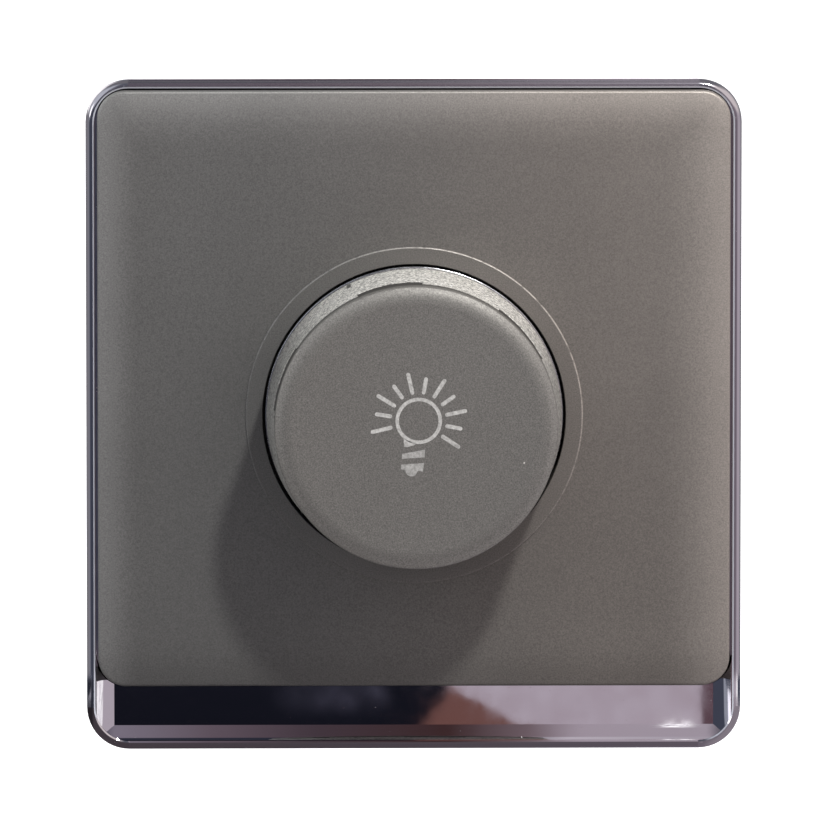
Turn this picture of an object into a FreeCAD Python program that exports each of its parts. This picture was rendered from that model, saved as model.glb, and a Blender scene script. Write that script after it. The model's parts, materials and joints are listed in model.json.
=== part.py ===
import FreeCAD, Part
import math
import os

# Rotary wall dimmer, all sizes in millimetres.
# Every piece is drawn lying on its back: x to the right, y up the wall, z out of the wall
# towards the room, with the wall face at z = 0 and the spindle on the z axis.
# save() stands the pieces up, so that the wall face is y = 0, the front looks along -y and z is up.

V = FreeCAD.Vector

# wall plate outline
plate_w = 86.0
plate_h = 88.3
plate_corner_r = 5.6
plate_drop = 0.17

# bezel frame: glossy outer ring with a wide strip below the fascia
bezel_depth = 8.5
bezel_wall = 1.13
bezel_edge_r = 0.95
bezel_land = 0.1
bezel_lean = 0.5
bezel_bevel = 0.2
bezel_bevel_drop = 0.11
strip_h = 7.4
strip_drop = 0.9
strip_skin = 1.8
strip_floor_r = 2.7
strip_end_r = 3.8
ledge_w = 2.0
ledge_t = 1.2
strip_ribs = 5
rib_t = 1.2

# fascia plate
fascia_gap = 0.4
fascia_top_gap = 0.25
fascia_front = 10.0
fascia_skin = 2.2
fascia_corner_r = 3.7
fascia_crown_r = 24.0
fascia_crown_w = 4.0
fascia_edge_r = 0.4
fascia_hem_inset = 0.8
fascia_hem_t = 1.2
fascia_hem_h = 2.5
ring_r = 22.15
ring_rise = 0.25
ring_edge_r = 0.2
hole_bevel = 0.08
collar_wall = 1.35
collar_h = 1.2
peg_inset_x = 5.95
peg_inset_y = 6.95
peg_r = 2.0
peg_len = 6.2
peg_root_r = 3.0
peg_root_h = 1.0
peg_fit = 0.08
fascia_rib_h = 1.5

# mounting frame behind the fascia
frame_t = 2.5
frame_fit = 0.2
screw_spacing = 60.3
slot_w = 4.5
slot_len = 7.5
slot_seat_margin = 2.4
slot_seat_depth = 0.8
turret_wall = 1.8
turret_r = 22.6
deck_front = 6.0
deck_t = 2.0
socket_wall = 1.4
socket_h = 6.3
socket_floor = 1.0
frame_rib_h = 2.0
hook_w = 8.0
hook_t = 1.2
hook_nose = 0.7
hook_nose_h = 1.1
hook_play = 0.05
hook_spread = 22.0

# rear housing
housing_w = 52.0
housing_wall = 1.6
block_gap = 0.4
housing_corner_r = 3.0
housing_seat = 0.5
housing_fit = 0.15
boss_inset = 4.5
boss_r = 4.2
screw_r = 1.45
screw_hole_r = 1.6
screw_head_r = 2.7
screw_head_h = 2.0
screw_well_r = 3.0
screw_well_end = 6.0
screw_len = 10.5
frame_boss_r = 3.2
frame_boss_h = 3.5
pilot_fit = 0.05
pilot_roof = 1.0
vent_w = 1.6
vent_len = 12.0
vent_count = 5
vent_pitch = 4.2
entry_w = 5.0
entry_h = 4.6
driver_hole_r = 2.6

# potentiometer
spindle_r = 3.0
spindle_fit = 0.05
spindle_front = 22.3
spindle_flat = 1.5
flat_len = 8.3
bushing_r = 3.5
bushing_front = 10.5
bushing_hole_fit = 0.1
pot_plate_w = 17.0
pot_plate_t = 1.2
pot_plate_corner_r = 2.0
pot_key_r = 1.2
pot_key_y = 7.2
pot_key_len = 1.5
nut_flats = 10.0
nut_t = 2.0
washer_r = 6.0
washer_t = 0.5
pot_case_r = 8.2
pot_case_h = 7.0
pot_sheet = 0.5
pot_case_hole_r = 2.6
rotor_r = 6.2
rotor_t = 1.8
rotor_drop = 1.6
stop_inner_r = 4.4
stop_height = 1.1
stop_play = 0.3
lug_angle = 24.0
stop_margin = 0.5
knob_turn = 300.0
rest_from_stop = 8.0
wafer_r = 7.5
wafer_hole_r = 3.4
wafer_t = 1.0
wafer_front = -1.4
wafer_tab_w = 13.0
wafer_tab_y = 12.0
brush_w = 1.6
brush_gap = 0.05
lug_pitch = 5.0
lug_w = 1.2
lug_t = 0.5
lug_y = 10.8
switch_r = 8.2
switch_h = 8.0
switch_socket_r = 2.4
switch_socket_h = 1.4
tang_t = 1.8
tang_len = 1.2
clip_r = 4.8
clip_t = 0.5
clip_groove_r = 2.4
clip_front = 11.45
clip_gap_w = 3.6

# knob
hole_clear = 0.25
foot_r = 19.62
foot_t = 1.0
foot_front = 9.9
foot_sleeve_r = 17.7
foot_sleeve_t = 1.2
foot_sleeve_front = 13.5
skirt_foot_gap = 0.5
skirt_r = 19.38
skirt_round = 1.2
skirt_front = 23.3
skirt_front_r = 18.4
skirt_wall = 1.5
skirt_web_t = 2.0
skirt_recess = 2.0
hub_r = 5.6
hub_rear = 11.9
hub_fit = 0.03
notch_count = 6
notch_angle = 27.0
notch_phase = 40.8
cap_r = 18.41
cap_gap = 0.3
cap_front = 27.4
cap_crown_w = 2.2
cap_crown_slope = 30.0
cap_edge_r = 0.3
tab_drop = 0.06
tab_play = 0.4
cap_skin = 1.8
spigot_t = 1.1
spigot_fit = 0.1
spring_wire = 0.9
spring_depth = 0.45
spring_front = 14.4
spring_mouth = 50.0
hub_slit = 0.9

# circuit board and what it carries
board_clear = 0.5
board_t = 1.6
board_gap = 0.4
board_boss_gap = 0.5
ledge_len = 16.0
ledge_reach = 1.5
choke_edge_gap = 0.6
choke_switch_gap = 0.9
choke_bore_share = 0.57
choke_core_h = 5.4
turn_pitch = 0.76
wire_d = 0.8
wire_fit = 0.04
cap_switch_gap = 2.15
cap_edge_gap = 1.05
film_cap_d = 6.0
film_cap_h = 10.5
film_cap_y = 6.4
small_cap = (7.2, 3.4, 7.5)
small_cap_y = -4.6
sink_boss_gap = 4.3
sink_edge_gap = 2.4
sink_fuse_gap = 10.0
sink_t = 1.5
sink_fin = 9.5
triac_w = 10.2
triac_tab_h = 15.2
triac_tab_t = 1.3
triac_body_h = 9.0
triac_body_t = 4.4
triac_top_gap = 0.9
triac_hole_up = 2.9
triac_lead_w = 0.8
triac_lead_t = 0.5
triac_lead_pitch = 2.54
triac_lead_len = 2.6
m3_r = 1.45
m3_hole_r = 1.6
m3_head_r = 2.75
m3_head_h = 1.8
m3_flats = 5.5
m3_nut_t = 2.4
fuse_y = -6.5
fuse_len = 20.0
fuse_r = 2.2
fuse_cap_r = 2.5
fuse_cap_len = 5.0
fuse_rise = 3.8
fuse_clip_w = 4.0
fuse_clip_t = 0.4
resistor_insets = (6.5, 2.9)
resistor_y = -3.0
resistor_r = 1.2
resistor_len = 6.2
lead_r = 0.3
lead_bend_r = 0.6
lead_over = 2.2
diac_inset = 5.4
diac_y = -3.0
diac_r = 0.95
diac_len = 4.0

# screw terminals
terminal_names = ("live", "load")
terminal_pitch = 10.0
block_wall = 1.3
block_skin = 0.8
block_lid = 0.6
chamber_w = 6.4
chamber_len = 5.6
block_front_wall = 1.0
block_edge = 0.7
chamber_play = 0.2
clamp_sheet = 0.7
clamp_floor = 1.0
clamp_top = 1.8
clamp_play_y = 0.3
wire_room = 3.6
bar_w = 4.2
bar_t = 1.0
bar_play = 0.3
clamp_travel = 2.4
clamp_screw_r = 1.7
clamp_screw_fit = 0.05
clamp_head_r = 2.3
clamp_head_h = 1.6
clamp_head_play = 0.2
screwdriver_r = 1.9
slot_cut_w = 0.7
slot_cut_depth = 0.8

# small plays, softened edges and how far a cutter reaches past what it cuts
overrun = 1.0
skim = 0.01
tiny = 1e-4
mouth_play = 0.1
pad_play = 0.15
wire_slot_play = 0.2
bar_slot_play = 0.1
case_gap = 0.2
neck_play = 0.1
tang_play = 0.3
brush_root = 0.6
brush_tip = 0.8
cross_reach = 0.65
cap_soft = 0.125

# sizes that follow from the ones above
opening_w = plate_w - 2 * bezel_wall
opening_h = plate_h - 2 * bezel_wall
fascia_w = opening_w - 2 * fascia_gap
fascia_h = opening_h - fascia_top_gap - strip_h
fascia_top = opening_h / 2 - plate_drop - fascia_top_gap
fascia_bottom = fascia_top - fascia_h
fascia_mid = (fascia_top + fascia_bottom) / 2
fascia_rear = fascia_front - fascia_skin
hole_r = foot_r + hole_clear
strip_floor = bezel_depth - strip_drop
ledge_front = frame_t + ledge_t
frame_w = opening_w - 2 * frame_fit
frame_h = opening_h - 2 * frame_fit
inner_corner_r = plate_corner_r - bezel_wall
peg_x = fascia_w / 2 - peg_inset_x
peg_y = fascia_h / 2 - peg_inset_y
deck_rear = deck_front - deck_t
socket_r = peg_r + peg_fit
housing_in = housing_w / 2 - housing_wall
boss_xy = housing_w / 2 - boss_inset
pot_plate_rear = deck_rear - pot_plate_t
tab_angle = 360 - knob_turn - 2 * stop_margin - lug_angle
pot_case_rear = pot_plate_rear - pot_case_h
switch_rear = pot_case_rear - switch_h
board_front = switch_rear - board_gap
board_rear = board_front - board_t
board_half = housing_in - board_clear
skirt_rear = foot_front + skirt_foot_gap
web_front = skirt_front - skirt_recess
web_rear = web_front - skirt_web_t
cap_rear = skirt_front + cap_gap
recess_r = skirt_front_r - skirt_wall
terminal_xs = (-terminal_pitch / 2, terminal_pitch / 2)
block_y0 = -board_half + block_edge / 2
chamber_y0 = block_y0 + block_front_wall
chamber_y1 = chamber_y0 + chamber_len
chamber_y = (chamber_y0 + chamber_y1) / 2
clamp_base = board_rear - block_skin - chamber_play
wire_floor = clamp_base - clamp_floor
bar_front = wire_floor - wire_room
bar_rear = bar_front - bar_t
clamp_top_front = bar_rear - bar_play
clamp_rear = clamp_top_front - clamp_top
head_front = clamp_rear - clamp_travel - chamber_play - clamp_head_play / 2
head_rear = head_front - clamp_head_h
block_rear = head_rear - clamp_head_play - block_lid
housing_floor = block_rear - block_gap
housing_depth = housing_wall - housing_floor
choke_room = board_half - switch_r - choke_edge_gap - choke_switch_gap
choke_core_r = choke_room / 2 - wire_d
choke_core_bore = choke_core_r * choke_bore_share
choke_x = choke_edge_gap + choke_room / 2 - board_half
choke_turns = int(2 * math.pi * (choke_core_bore - wire_d) / turn_pitch) - 1
film_cap_x0 = switch_r + cap_switch_gap
film_cap_x1 = board_half - cap_edge_gap
film_cap_x = (film_cap_x0 + film_cap_x1) / 2
sink_w = 2 * (boss_xy - boss_r - sink_boss_gap)
sink_low = fuse_y + sink_fuse_gap
sink_high = board_half - sink_edge_gap
triac_y = sink_high - triac_top_gap - triac_tab_h / 2


def save(name, *solids):
    """Stands the solids up on the wall and writes them as one node."""
    shape = solids[0] if len(solids) == 1 else Part.makeCompound(list(solids))
    shape = shape.copy()
    shape.rotate(V(0, 0, 0), V(1, 0, 0), 90)
    shape.exportStep("parts/" + name + ".step")


def block(x0, x1, y0, y1, z0, z1):
    return Part.makeBox(x1 - x0, y1 - y0, z1 - z0, V(x0, y0, z0))


def rod(r, z0, z1, x=0.0, y=0.0):
    return Part.makeCylinder(r, z1 - z0, V(x, y, z0))


def rod_along(r, length, start, direction):
    return Part.makeCylinder(r, length, start, direction)


def tube(r_out, r_in, z0, z1, x=0.0, y=0.0):
    return rod(r_out, z0, z1, x, y).cut(rod(r_in, z0 - overrun, z1 + overrun, x, y))


def slab(w, h, corner_r, z0, z1, x=0.0, y=0.0):
    """A plate with rounded corners, centred on x, y."""
    body = block(x - w / 2, x + w / 2, y - h / 2, y + h / 2, z0, z1)
    upright = [e for e in body.Edges if e.BoundBox.ZLength > (z1 - z0) / 2]
    return body.makeFillet(corner_r, upright)


def flat_edges(shape, z):
    """The edges that lie whole in the level z."""
    return [e for e in shape.Edges if abs(e.BoundBox.ZMin - z) < tiny and abs(e.BoundBox.ZMax - z) < tiny]


def tapered(w, h, corner_r, lean, z0, z1):
    """A plate with rounded corners whose walls lean in all round towards the level z0."""
    x = w / 2
    y = h / 2
    flat_x = x - corner_r
    flat_y = y - corner_r
    wide = [V(lean - x, -flat_y, z0), V(x - lean, -flat_y, z0), V(x, -flat_y, z1), V(-x, -flat_y, z1)]
    tall = [V(-flat_x, lean - y, z0), V(-flat_x, y - lean, z0), V(-flat_x, y, z1), V(-flat_x, -y, z1)]
    body = Part.Face(Part.makePolygon(wide + [wide[0]])).extrude(V(0, 2 * flat_y, 0))
    body = body.fuse(Part.Face(Part.makePolygon(tall + [tall[0]])).extrude(V(2 * flat_x, 0, 0)))
    for sx in (-1, 1):
        for sy in (-1, 1):
            place = V(sx * flat_x, sy * flat_y, z0)
            body = body.fuse(Part.makeCone(corner_r - lean, corner_r, z1 - z0, place))
    return body


def slot(length, width, z0, z1, x, y):
    """A hole cutter with round ends that runs along x."""
    half = (length - width) / 2
    core = block(x - half, x + half, y - width / 2, y + width / 2, z0, z1)
    return core.fuse(rod(width / 2, z0, z1, x - half, y)).fuse(rod(width / 2, z0, z1, x + half, y))


def hexagon(flats, z0, z1, x=0.0, y=0.0):
    r = flats / math.sqrt(3)
    points = [V(x + r * math.cos(a), y + r * math.sin(a), z0) for a in sixths(0)]
    return Part.Face(Part.makePolygon(points + [points[0]])).extrude(V(0, 0, z1 - z0))


def sixths(phase):
    return [math.radians(phase + 60 * i) for i in range(6)]


def wedge(r_in, r_out, z0, z1, middle, angle):
    """A piece of a ring that is centred on the direction middle."""
    full = Part.makeCylinder(r_out, z1 - z0, V(0, 0, z0), V(0, 0, 1), angle)
    full = full.cut(rod(r_in, z0 - overrun, z1 + overrun))
    full.rotate(V(0, 0, 0), V(0, 0, 1), middle - angle / 2)
    return full


def turned(edges):
    """Turns a closed outline in the x, z plane round the z axis."""
    face = Part.Face(Part.Wire(edges))
    return face.revolve(V(0, 0, 0), V(0, 0, 1), 360)


def lines(points):
    """Straight edges through (radius, z) points."""
    at = [V(r, 0, z) for r, z in points]
    return [Part.LineSegment(a, b).toShape() for a, b in zip(at, at[1:])]


def fused(first, *others):
    return first.multiFuse(list(others)).removeSplitter() if others else first


def hollow_spread(r):
    """How far past the rim a hollow round of radius r would end, were the rim not there."""
    rise = r - strip_drop
    return r - math.sqrt(r ** 2 - rise ** 2)


def strip_recess():
    """The cutter that sinks the strip, with hollow rounds where its floor rises to the rim."""
    w = opening_w / 2 + hollow_spread(strip_end_r)
    h = opening_h / 2 + hollow_spread(strip_floor_r)
    high = strip_floor + 2 * strip_end_r
    across = block(-w, w, -h - overrun, h + overrun, strip_floor, high)
    ends = [e for e in flat_edges(across, strip_floor) if e.BoundBox.XLength < tiny]
    across = across.makeFillet(strip_end_r, ends)
    along = block(-w - overrun, w + overrun, -h, h, strip_floor, high)
    sides = [e for e in flat_edges(along, strip_floor) if e.BoundBox.YLength < tiny]
    along = along.makeFillet(strip_floor_r, sides)
    low = strip_floor - overrun
    inside = slab(opening_w, opening_h, inner_corner_r, low, bezel_depth + overrun)
    return across.common(along).common(inside)


def bezel_frame():
    land = bezel_depth - bezel_edge_r - bezel_land
    front = slab(plate_w, plate_h, plate_corner_r, land, bezel_depth)
    front = front.makeFillet(bezel_edge_r, flat_edges(front, bezel_depth))
    body = front.fuse(tapered(plate_w, plate_h, plate_corner_r, bezel_lean, 0, land))
    under_strip = strip_floor - strip_skin
    body = body.cut(slab(opening_w, opening_h, inner_corner_r, -overrun, under_strip))
    body = body.cut(strip_recess())
    strip_top = fascia_bottom + plate_drop - fascia_top_gap
    window_h = opening_h - strip_top
    window_r = fascia_corner_r + fascia_gap
    low = under_strip - overrun
    window = slab(opening_w, window_h, window_r, low, bezel_depth, 0, strip_top + window_h / 2)
    through = slab(opening_w, opening_h, inner_corner_r, low, bezel_depth)
    body = body.cut(window.common(through))
    root = bezel_wall / 2
    ledge = slab(opening_w + root, opening_h + root, inner_corner_r, frame_t, ledge_front)
    hole = slab(
        opening_w - 2 * ledge_w, opening_h - 2 * ledge_w, inner_corner_r - ledge_w / 2, 0, bezel_depth
    )
    body = body.fuse(ledge.cut(hole))
    pitch = (opening_w - 2 * inner_corner_r) / (strip_ribs - 1)
    rib_bottom = -(opening_h + root) / 2
    for i in range(strip_ribs):
        x = (i - (strip_ribs - 1) / 2) * pitch
        rib = block(x - rib_t / 2, x + rib_t / 2, rib_bottom, strip_top, ledge_front, under_strip)
        body = body.fuse(rib)
    grown = 4 * bezel_bevel
    bevel = tapered(
        opening_w + grown, opening_h + grown, inner_corner_r + grown / 2, grown / 2,
        bezel_depth - bezel_bevel_drop, bezel_depth + bezel_bevel_drop,
    )
    body = body.cut(bevel).removeSplitter()
    body.translate(V(0, -plate_drop, 0))
    return body


def peg_places():
    return [(sx * peg_x, fascia_mid + sy * peg_y) for sx in (-1, 1) for sy in (-1, 1)]


def crowned_plate():
    """The fascia's slab with a face that rolls off softly all round, then a small edge round."""
    spread = fascia_crown_r - fascia_crown_w
    corner_r = fascia_crown_r + overrun
    low = fascia_front - fascia_crown_r - overrun
    pillow = slab(fascia_w + 2 * spread, fascia_h + 2 * spread, corner_r, low, fascia_front, 0, fascia_mid)
    pillow = pillow.makeFillet(fascia_crown_r, flat_edges(pillow, fascia_front))
    plate = slab(fascia_w, fascia_h, fascia_corner_r, fascia_rear, fascia_front, 0, fascia_mid)
    plate = plate.common(pillow)
    rim = []
    for edge in plate.Edges:
        box = edge.BoundBox
        outer = max(abs(box.XMin), abs(box.XMax)) > fascia_w / 2 - tiny
        outer = outer or max(abs(box.YMin - fascia_mid), abs(box.YMax - fascia_mid)) > fascia_h / 2 - tiny
        if outer and box.ZMin > fascia_rear + tiny:
            rim.append(edge)
    return plate.makeFillet(fascia_edge_r, rim)


def fascia_plate():
    plate = crowned_plate()
    ring_front = fascia_front + ring_rise
    raised = rod(ring_r, fascia_front - fascia_skin / 2, ring_front)
    raised = raised.makeFillet(ring_edge_r, flat_edges(raised, ring_front))
    collar = rod(hole_r + collar_wall, fascia_rear - collar_h, fascia_rear)
    hem_w = fascia_w - 2 * fascia_hem_inset
    hem_h = fascia_h - 2 * fascia_hem_inset
    hem_rear = fascia_rear - fascia_hem_h
    hem = slab(hem_w, hem_h, fascia_corner_r, hem_rear, fascia_rear, 0, fascia_mid)
    inside = slab(
        hem_w - 2 * fascia_hem_t, hem_h - 2 * fascia_hem_t, fascia_corner_r - fascia_hem_t,
        hem_rear - overrun, fascia_rear, 0, fascia_mid,
    )
    ribs = []
    rib_rear = fascia_rear - fascia_rib_h
    for x, y in ((1, 0), (-1, 0), (0, 1), (0, -1)):
        half = rib_t / 2
        x0, x1 = (-half, half) if x == 0 else sorted((x * hole_r, x * (hem_w / 2 - half)))
        edge = fascia_mid + y * (hem_h / 2 - half)
        y0, y1 = (-half, half) if y == 0 else sorted((y * hole_r, edge))
        ribs.append(block(x0, x1, y0, y1, rib_rear, fascia_rear))
    pegs = []
    for x, y in peg_places():
        peg = rod(peg_r, fascia_rear - peg_len, fascia_rear, x, y)
        tip = flat_edges(peg, fascia_rear - peg_len)
        pegs.append(peg.makeChamfer(peg_r / 4, tip))
        pegs.append(rod(peg_root_r, fascia_rear - peg_root_h, fascia_rear, x, y))
    body = fused(plate, raised, collar, hem.cut(inside), *ribs, *pegs)
    body = body.cut(rod(hole_r, 0, ring_front + overrun))
    lead_in = Part.makeCone(hole_r, hole_r + hole_bevel, hole_bevel, V(0, 0, ring_front - hole_bevel))
    return body.cut(lead_in)


def hook(x, y, side):
    """A snap hook that holds the ledge of the bezel down on the frame."""
    edge = opening_w / 2 - ledge_w - hook_play
    stem = block(edge - hook_t, edge, y - hook_w / 2, y + hook_w / 2, frame_t, ledge_front + hook_nose_h)
    low = ledge_front + hook_play
    nose = block(edge - hook_t, edge + hook_nose, y - hook_w / 2, y + hook_w / 2, low, low + hook_nose_h)
    body = stem.fuse(nose)
    if side < 0:
        body = body.mirror(V(0, 0, 0), V(1, 0, 0))
    return body


def mounting_frame():
    plate = slab(frame_w, frame_h, inner_corner_r - frame_fit, 0, frame_t, 0, -plate_drop)
    turret = rod(turret_r, 0, deck_front)
    turret = turret.makeFillet(turret_wall / 3, flat_edges(turret, deck_front))
    parts = [turret]
    for x, y in peg_places():
        parts.append(rod(socket_r + socket_wall, 0, socket_h, x, y))
    for x, y in boss_places():
        parts.append(rod(frame_boss_r, 0, frame_t + frame_boss_h, x, y))
    half = rib_t / 2
    reach = frame_w / 2 - ledge_w - hook_t - hook_play - frame_fit
    rib_front = frame_t + frame_rib_h
    parts.append(block(-half, half, fascia_bottom + rib_t, reach, 0, rib_front))
    for x, y in boss_places():
        px = math.copysign(peg_x, x)
        parts.append(block(min(x, px), max(x, px), y - half, y + half, 0, rib_front))
    for side in (-1, 1):
        for y in (-hook_spread, hook_spread):
            parts.append(hook(0, y, side))
    body = fused(plate, *parts)
    body = body.cut(rod(turret_r - turret_wall, -overrun, deck_rear))
    seat_w = housing_w + 2 * housing_fit
    body = body.cut(slab(seat_w, seat_w, housing_corner_r + housing_fit, -overrun, housing_seat))
    body = body.cut(rod(bushing_r + bushing_hole_fit, 0, deck_front + overrun))
    body = body.cut(rod(pot_key_r + bushing_hole_fit, 0, deck_front + overrun, 0, pot_key_y))
    for x, y in peg_places():
        body = body.cut(rod(socket_r, socket_floor, socket_h + overrun, x, y))
    for x, y in boss_places():
        body = body.cut(rod(screw_r + pilot_fit, -overrun, frame_t + frame_boss_h - pilot_roof, x, y))
    for side in (-1, 1):
        x = side * screw_spacing / 2
        body = body.cut(slot(slot_len, slot_w, -overrun, frame_t + overrun, x, 0))
        seat = slot(
            slot_len + 2 * slot_seat_margin, slot_w + 2 * slot_seat_margin,
            frame_t - slot_seat_depth, deck_front, x, 0,
        )
        body = body.cut(seat.cut(rod(turret_r, -overrun, deck_front)))
    return body


def boss_places():
    return [(sx * boss_xy, sy * boss_xy) for sx in (-1, 1) for sy in (-1, 1)]


def rear_housing():
    body = slab(housing_w, housing_w, housing_corner_r, -housing_depth, housing_seat)
    body = body.makeFillet(housing_wall / 2, flat_edges(body, -housing_depth))
    inner = 2 * housing_in
    inner_r = housing_corner_r - housing_wall
    body = body.cut(slab(inner, inner, inner_r, housing_floor, housing_seat + overrun))
    room_w = inner + housing_wall
    room = slab(room_w, room_w, housing_corner_r, housing_floor - overrun, housing_seat)
    low = housing_floor - housing_wall / 2
    pillars = [rod(boss_r, low, housing_seat, x, y) for x, y in boss_places()]
    shelf = []
    for side in (-1, 1):
        wall_x = side * (housing_in + housing_wall / 2)
        inner_x = side * (housing_in - ledge_reach)
        x0, x1 = sorted((wall_x, inner_x))
        shelf.append(block(x0, x1, -ledge_len / 2, ledge_len / 2, low, board_rear))
    body = fused(body, *[p.common(room) for p in pillars], *shelf)
    for x, y in boss_places():
        body = body.cut(rod(screw_well_r, -housing_depth - overrun, -screw_well_end, x, y))
        body = body.cut(rod(screw_hole_r, -housing_depth, housing_seat + overrun, x, y))
    entry_z = (wire_floor + bar_front) / 2
    for x in terminal_xs:
        entry = block(
            x - entry_w / 2, x + entry_w / 2, -housing_w, skim - housing_in,
            entry_z - entry_h / 2, entry_z + entry_h / 2,
        )
        body = body.cut(entry)
        body = body.cut(rod(driver_hole_r, -housing_depth - overrun, housing_floor + skim, x, chamber_y))
    for i in range(vent_count):
        x = (i - (vent_count - overrun) / 2) * vent_pitch
        top = block(
            x - vent_w / 2, x + vent_w / 2, housing_in - skim, housing_w,
            board_rear - vent_len, board_rear - vent_w,
        )
        body = body.cut(top)
    return body


def housing_screw(x, y):
    seat = -screw_well_end
    body = rod(screw_head_r, seat - screw_head_h, seat, x, y)
    body = body.makeFillet(screw_head_h / 3, flat_edges(body, seat - screw_head_h))
    body = body.fuse(rod(screw_r, seat, seat + screw_len, x, y))
    arm = screw_head_r * cross_reach
    rear = seat - screw_head_h
    cut_w = slot_cut_w / 2
    for a, b in ((arm, cut_w), (cut_w, arm)):
        body = body.cut(block(x - a, x + a, y - b, y + b, rear - overrun, seat - screw_head_h / 2))
    return body


def pot_bushing():
    plate = slab(pot_plate_w, pot_plate_w, pot_plate_corner_r, pot_plate_rear, deck_rear)
    neck = rod(bushing_r, deck_rear, bushing_front)
    neck = neck.makeChamfer(bushing_r - spindle_r, flat_edges(neck, bushing_front))
    key = rod(pot_key_r, deck_rear, deck_rear + pot_key_len, 0, pot_key_y)
    lug_rear = pot_plate_rear - rotor_drop + stop_play
    lug = wedge(stop_inner_r, rotor_r, lug_rear, pot_plate_rear, -90, lug_angle)
    body = fused(plate, neck, key, lug)
    return body.cut(rod(spindle_r + spindle_fit, pot_plate_rear - overrun, bushing_front + overrun))


def pot_case():
    body = rod(pot_case_r, pot_case_rear, pot_plate_rear)
    body = body.makeFillet(pot_sheet, flat_edges(body, pot_case_rear))
    body = body.cut(rod(pot_case_r - pot_sheet, pot_case_rear + pot_sheet, pot_plate_rear + overrun))
    body = body.cut(rod(pot_case_hole_r, pot_case_rear - overrun, pot_plate_rear))
    half = wafer_tab_w / 2 + mouth_play
    low = wafer_front - wafer_t - mouth_play
    mouth = block(-half, half, -pot_case_r - overrun, 0, low, wafer_front + mouth_play)
    return body.cut(mouth)


def pot_wafer():
    body = rod(wafer_r, wafer_front - wafer_t, wafer_front)
    half = wafer_tab_w / 2
    body = body.fuse(block(-half, half, -wafer_tab_y, 0, wafer_front - wafer_t, wafer_front))
    body = body.cut(rod(wafer_hole_r, wafer_front - wafer_t - overrun, wafer_front + overrun))
    for x in lug_xs():
        reach = lug_w / 2
        low = wafer_front - wafer_t - overrun
        body = body.cut(block(x - reach, x + reach, -lug_y - lug_t, -lug_y, low, wafer_front + overrun))
    return body


def lug_xs():
    return (-lug_pitch, 0.0, lug_pitch)


def pot_lug(x):
    reach = lug_w / 2
    head = wafer_front + lug_t
    leg = block(x - reach, x + reach, -lug_y - lug_t, -lug_y, board_rear - lug_t, head)
    foot = block(x - reach, x + reach, -lug_y, -pot_case_r - case_gap, wafer_front, head)
    return leg.fuse(foot)


def pot_switch():
    body = rod(switch_r, switch_rear, pot_case_rear)
    body = body.makeFillet(pot_sheet, flat_edges(body, switch_rear))
    body = body.cut(rod(switch_socket_r, pot_case_rear - switch_socket_h, pot_case_rear + overrun))
    for x in (-lug_pitch, lug_pitch):
        body = body.fuse(block(x - lug_w / 2, x + lug_w / 2, 0, lug_t, board_front, switch_rear + pot_sheet))
    return body


def pot_nut():
    body = hexagon(nut_flats, deck_front + washer_t, deck_front + washer_t + nut_t)
    return body.cut(rod(bushing_r + spindle_fit / 2, 0, bushing_front))


def pot_washer():
    return tube(washer_r, bushing_r + bushing_hole_fit, deck_front, deck_front + washer_t)


def spindle():
    body = rod(spindle_r, pot_case_rear, spindle_front)
    body = body.makeChamfer(clip_t, flat_edges(body, spindle_front))
    across = spindle_r - spindle_flat
    flat_rear = spindle_front - flat_len
    body = body.cut(block(-spindle_r, spindle_r, across, spindle_r, flat_rear, spindle_front + overrun))
    body = body.cut(tube(spindle_r + overrun, clip_groove_r, clip_front - clip_t, clip_front))
    neck_rear = pot_case_rear - overrun
    neck = tube(spindle_r + overrun, switch_socket_r - neck_play, neck_rear, wafer_front - wafer_t)
    body = body.cut(neck)
    reach = switch_socket_r - tang_play
    tang = block(-reach, reach, -tang_t / 2, tang_t / 2, pot_case_rear - tang_len, pot_case_rear)
    return body.fuse(tang).removeSplitter()


def rotor_front():
    return pot_plate_rear - rotor_drop


def stop_tab_middle():
    """Where the rotor's tab stands at rest, seen from the front."""
    swing = (lug_angle + tab_angle) / 2 + stop_margin
    return -90 - swing - rest_from_stop


def pot_rotor():
    front = rotor_front()
    body = tube(rotor_r, spindle_r + hub_fit, front - rotor_t, front)
    tab = wedge(stop_inner_r, rotor_r, front - rotor_t / 2, front + stop_height, stop_tab_middle(), tab_angle)
    return fused(body, tab)


def wiper_brush():
    rear = wafer_front + brush_gap
    front = rotor_front() - rotor_t
    body = block(wafer_hole_r + brush_root, rotor_r, -brush_w / 2, brush_w / 2, rear, front)
    body = body.cut(block(0, rotor_r - brush_tip, -brush_w, brush_w, rear - overrun, (rear + front) / 2))
    body.rotate(V(0, 0, 0), V(0, 0, 1), stop_tab_middle())
    return body


def spindle_clip():
    rear = clip_front - clip_t
    body = tube(clip_r, clip_groove_r + hub_fit, rear, clip_front)
    half = clip_gap_w / 2
    return body.cut(block(-half, half, -clip_r - overrun, 0, rear - overrun, clip_front + overrun))


def knob_foot_ring():
    sleeve_in = foot_sleeve_r - foot_sleeve_t
    flange = rod(foot_r, foot_front - foot_t, foot_front)
    flange = flange.makeFillet(foot_t / 4, flat_edges(flange, foot_front))
    body = flange.fuse(rod(foot_sleeve_r, foot_front - foot_t, foot_sleeve_front))
    return body.cut(rod(sleeve_in, 0, foot_sleeve_front + overrun)).removeSplitter()


def slope_r(z):
    """The outer radius of the skirt's cone at the level z."""
    low = skirt_rear + skirt_round
    share = (z - low) / (skirt_front - low)
    return skirt_r + (skirt_front_r - skirt_r) * share


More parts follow.
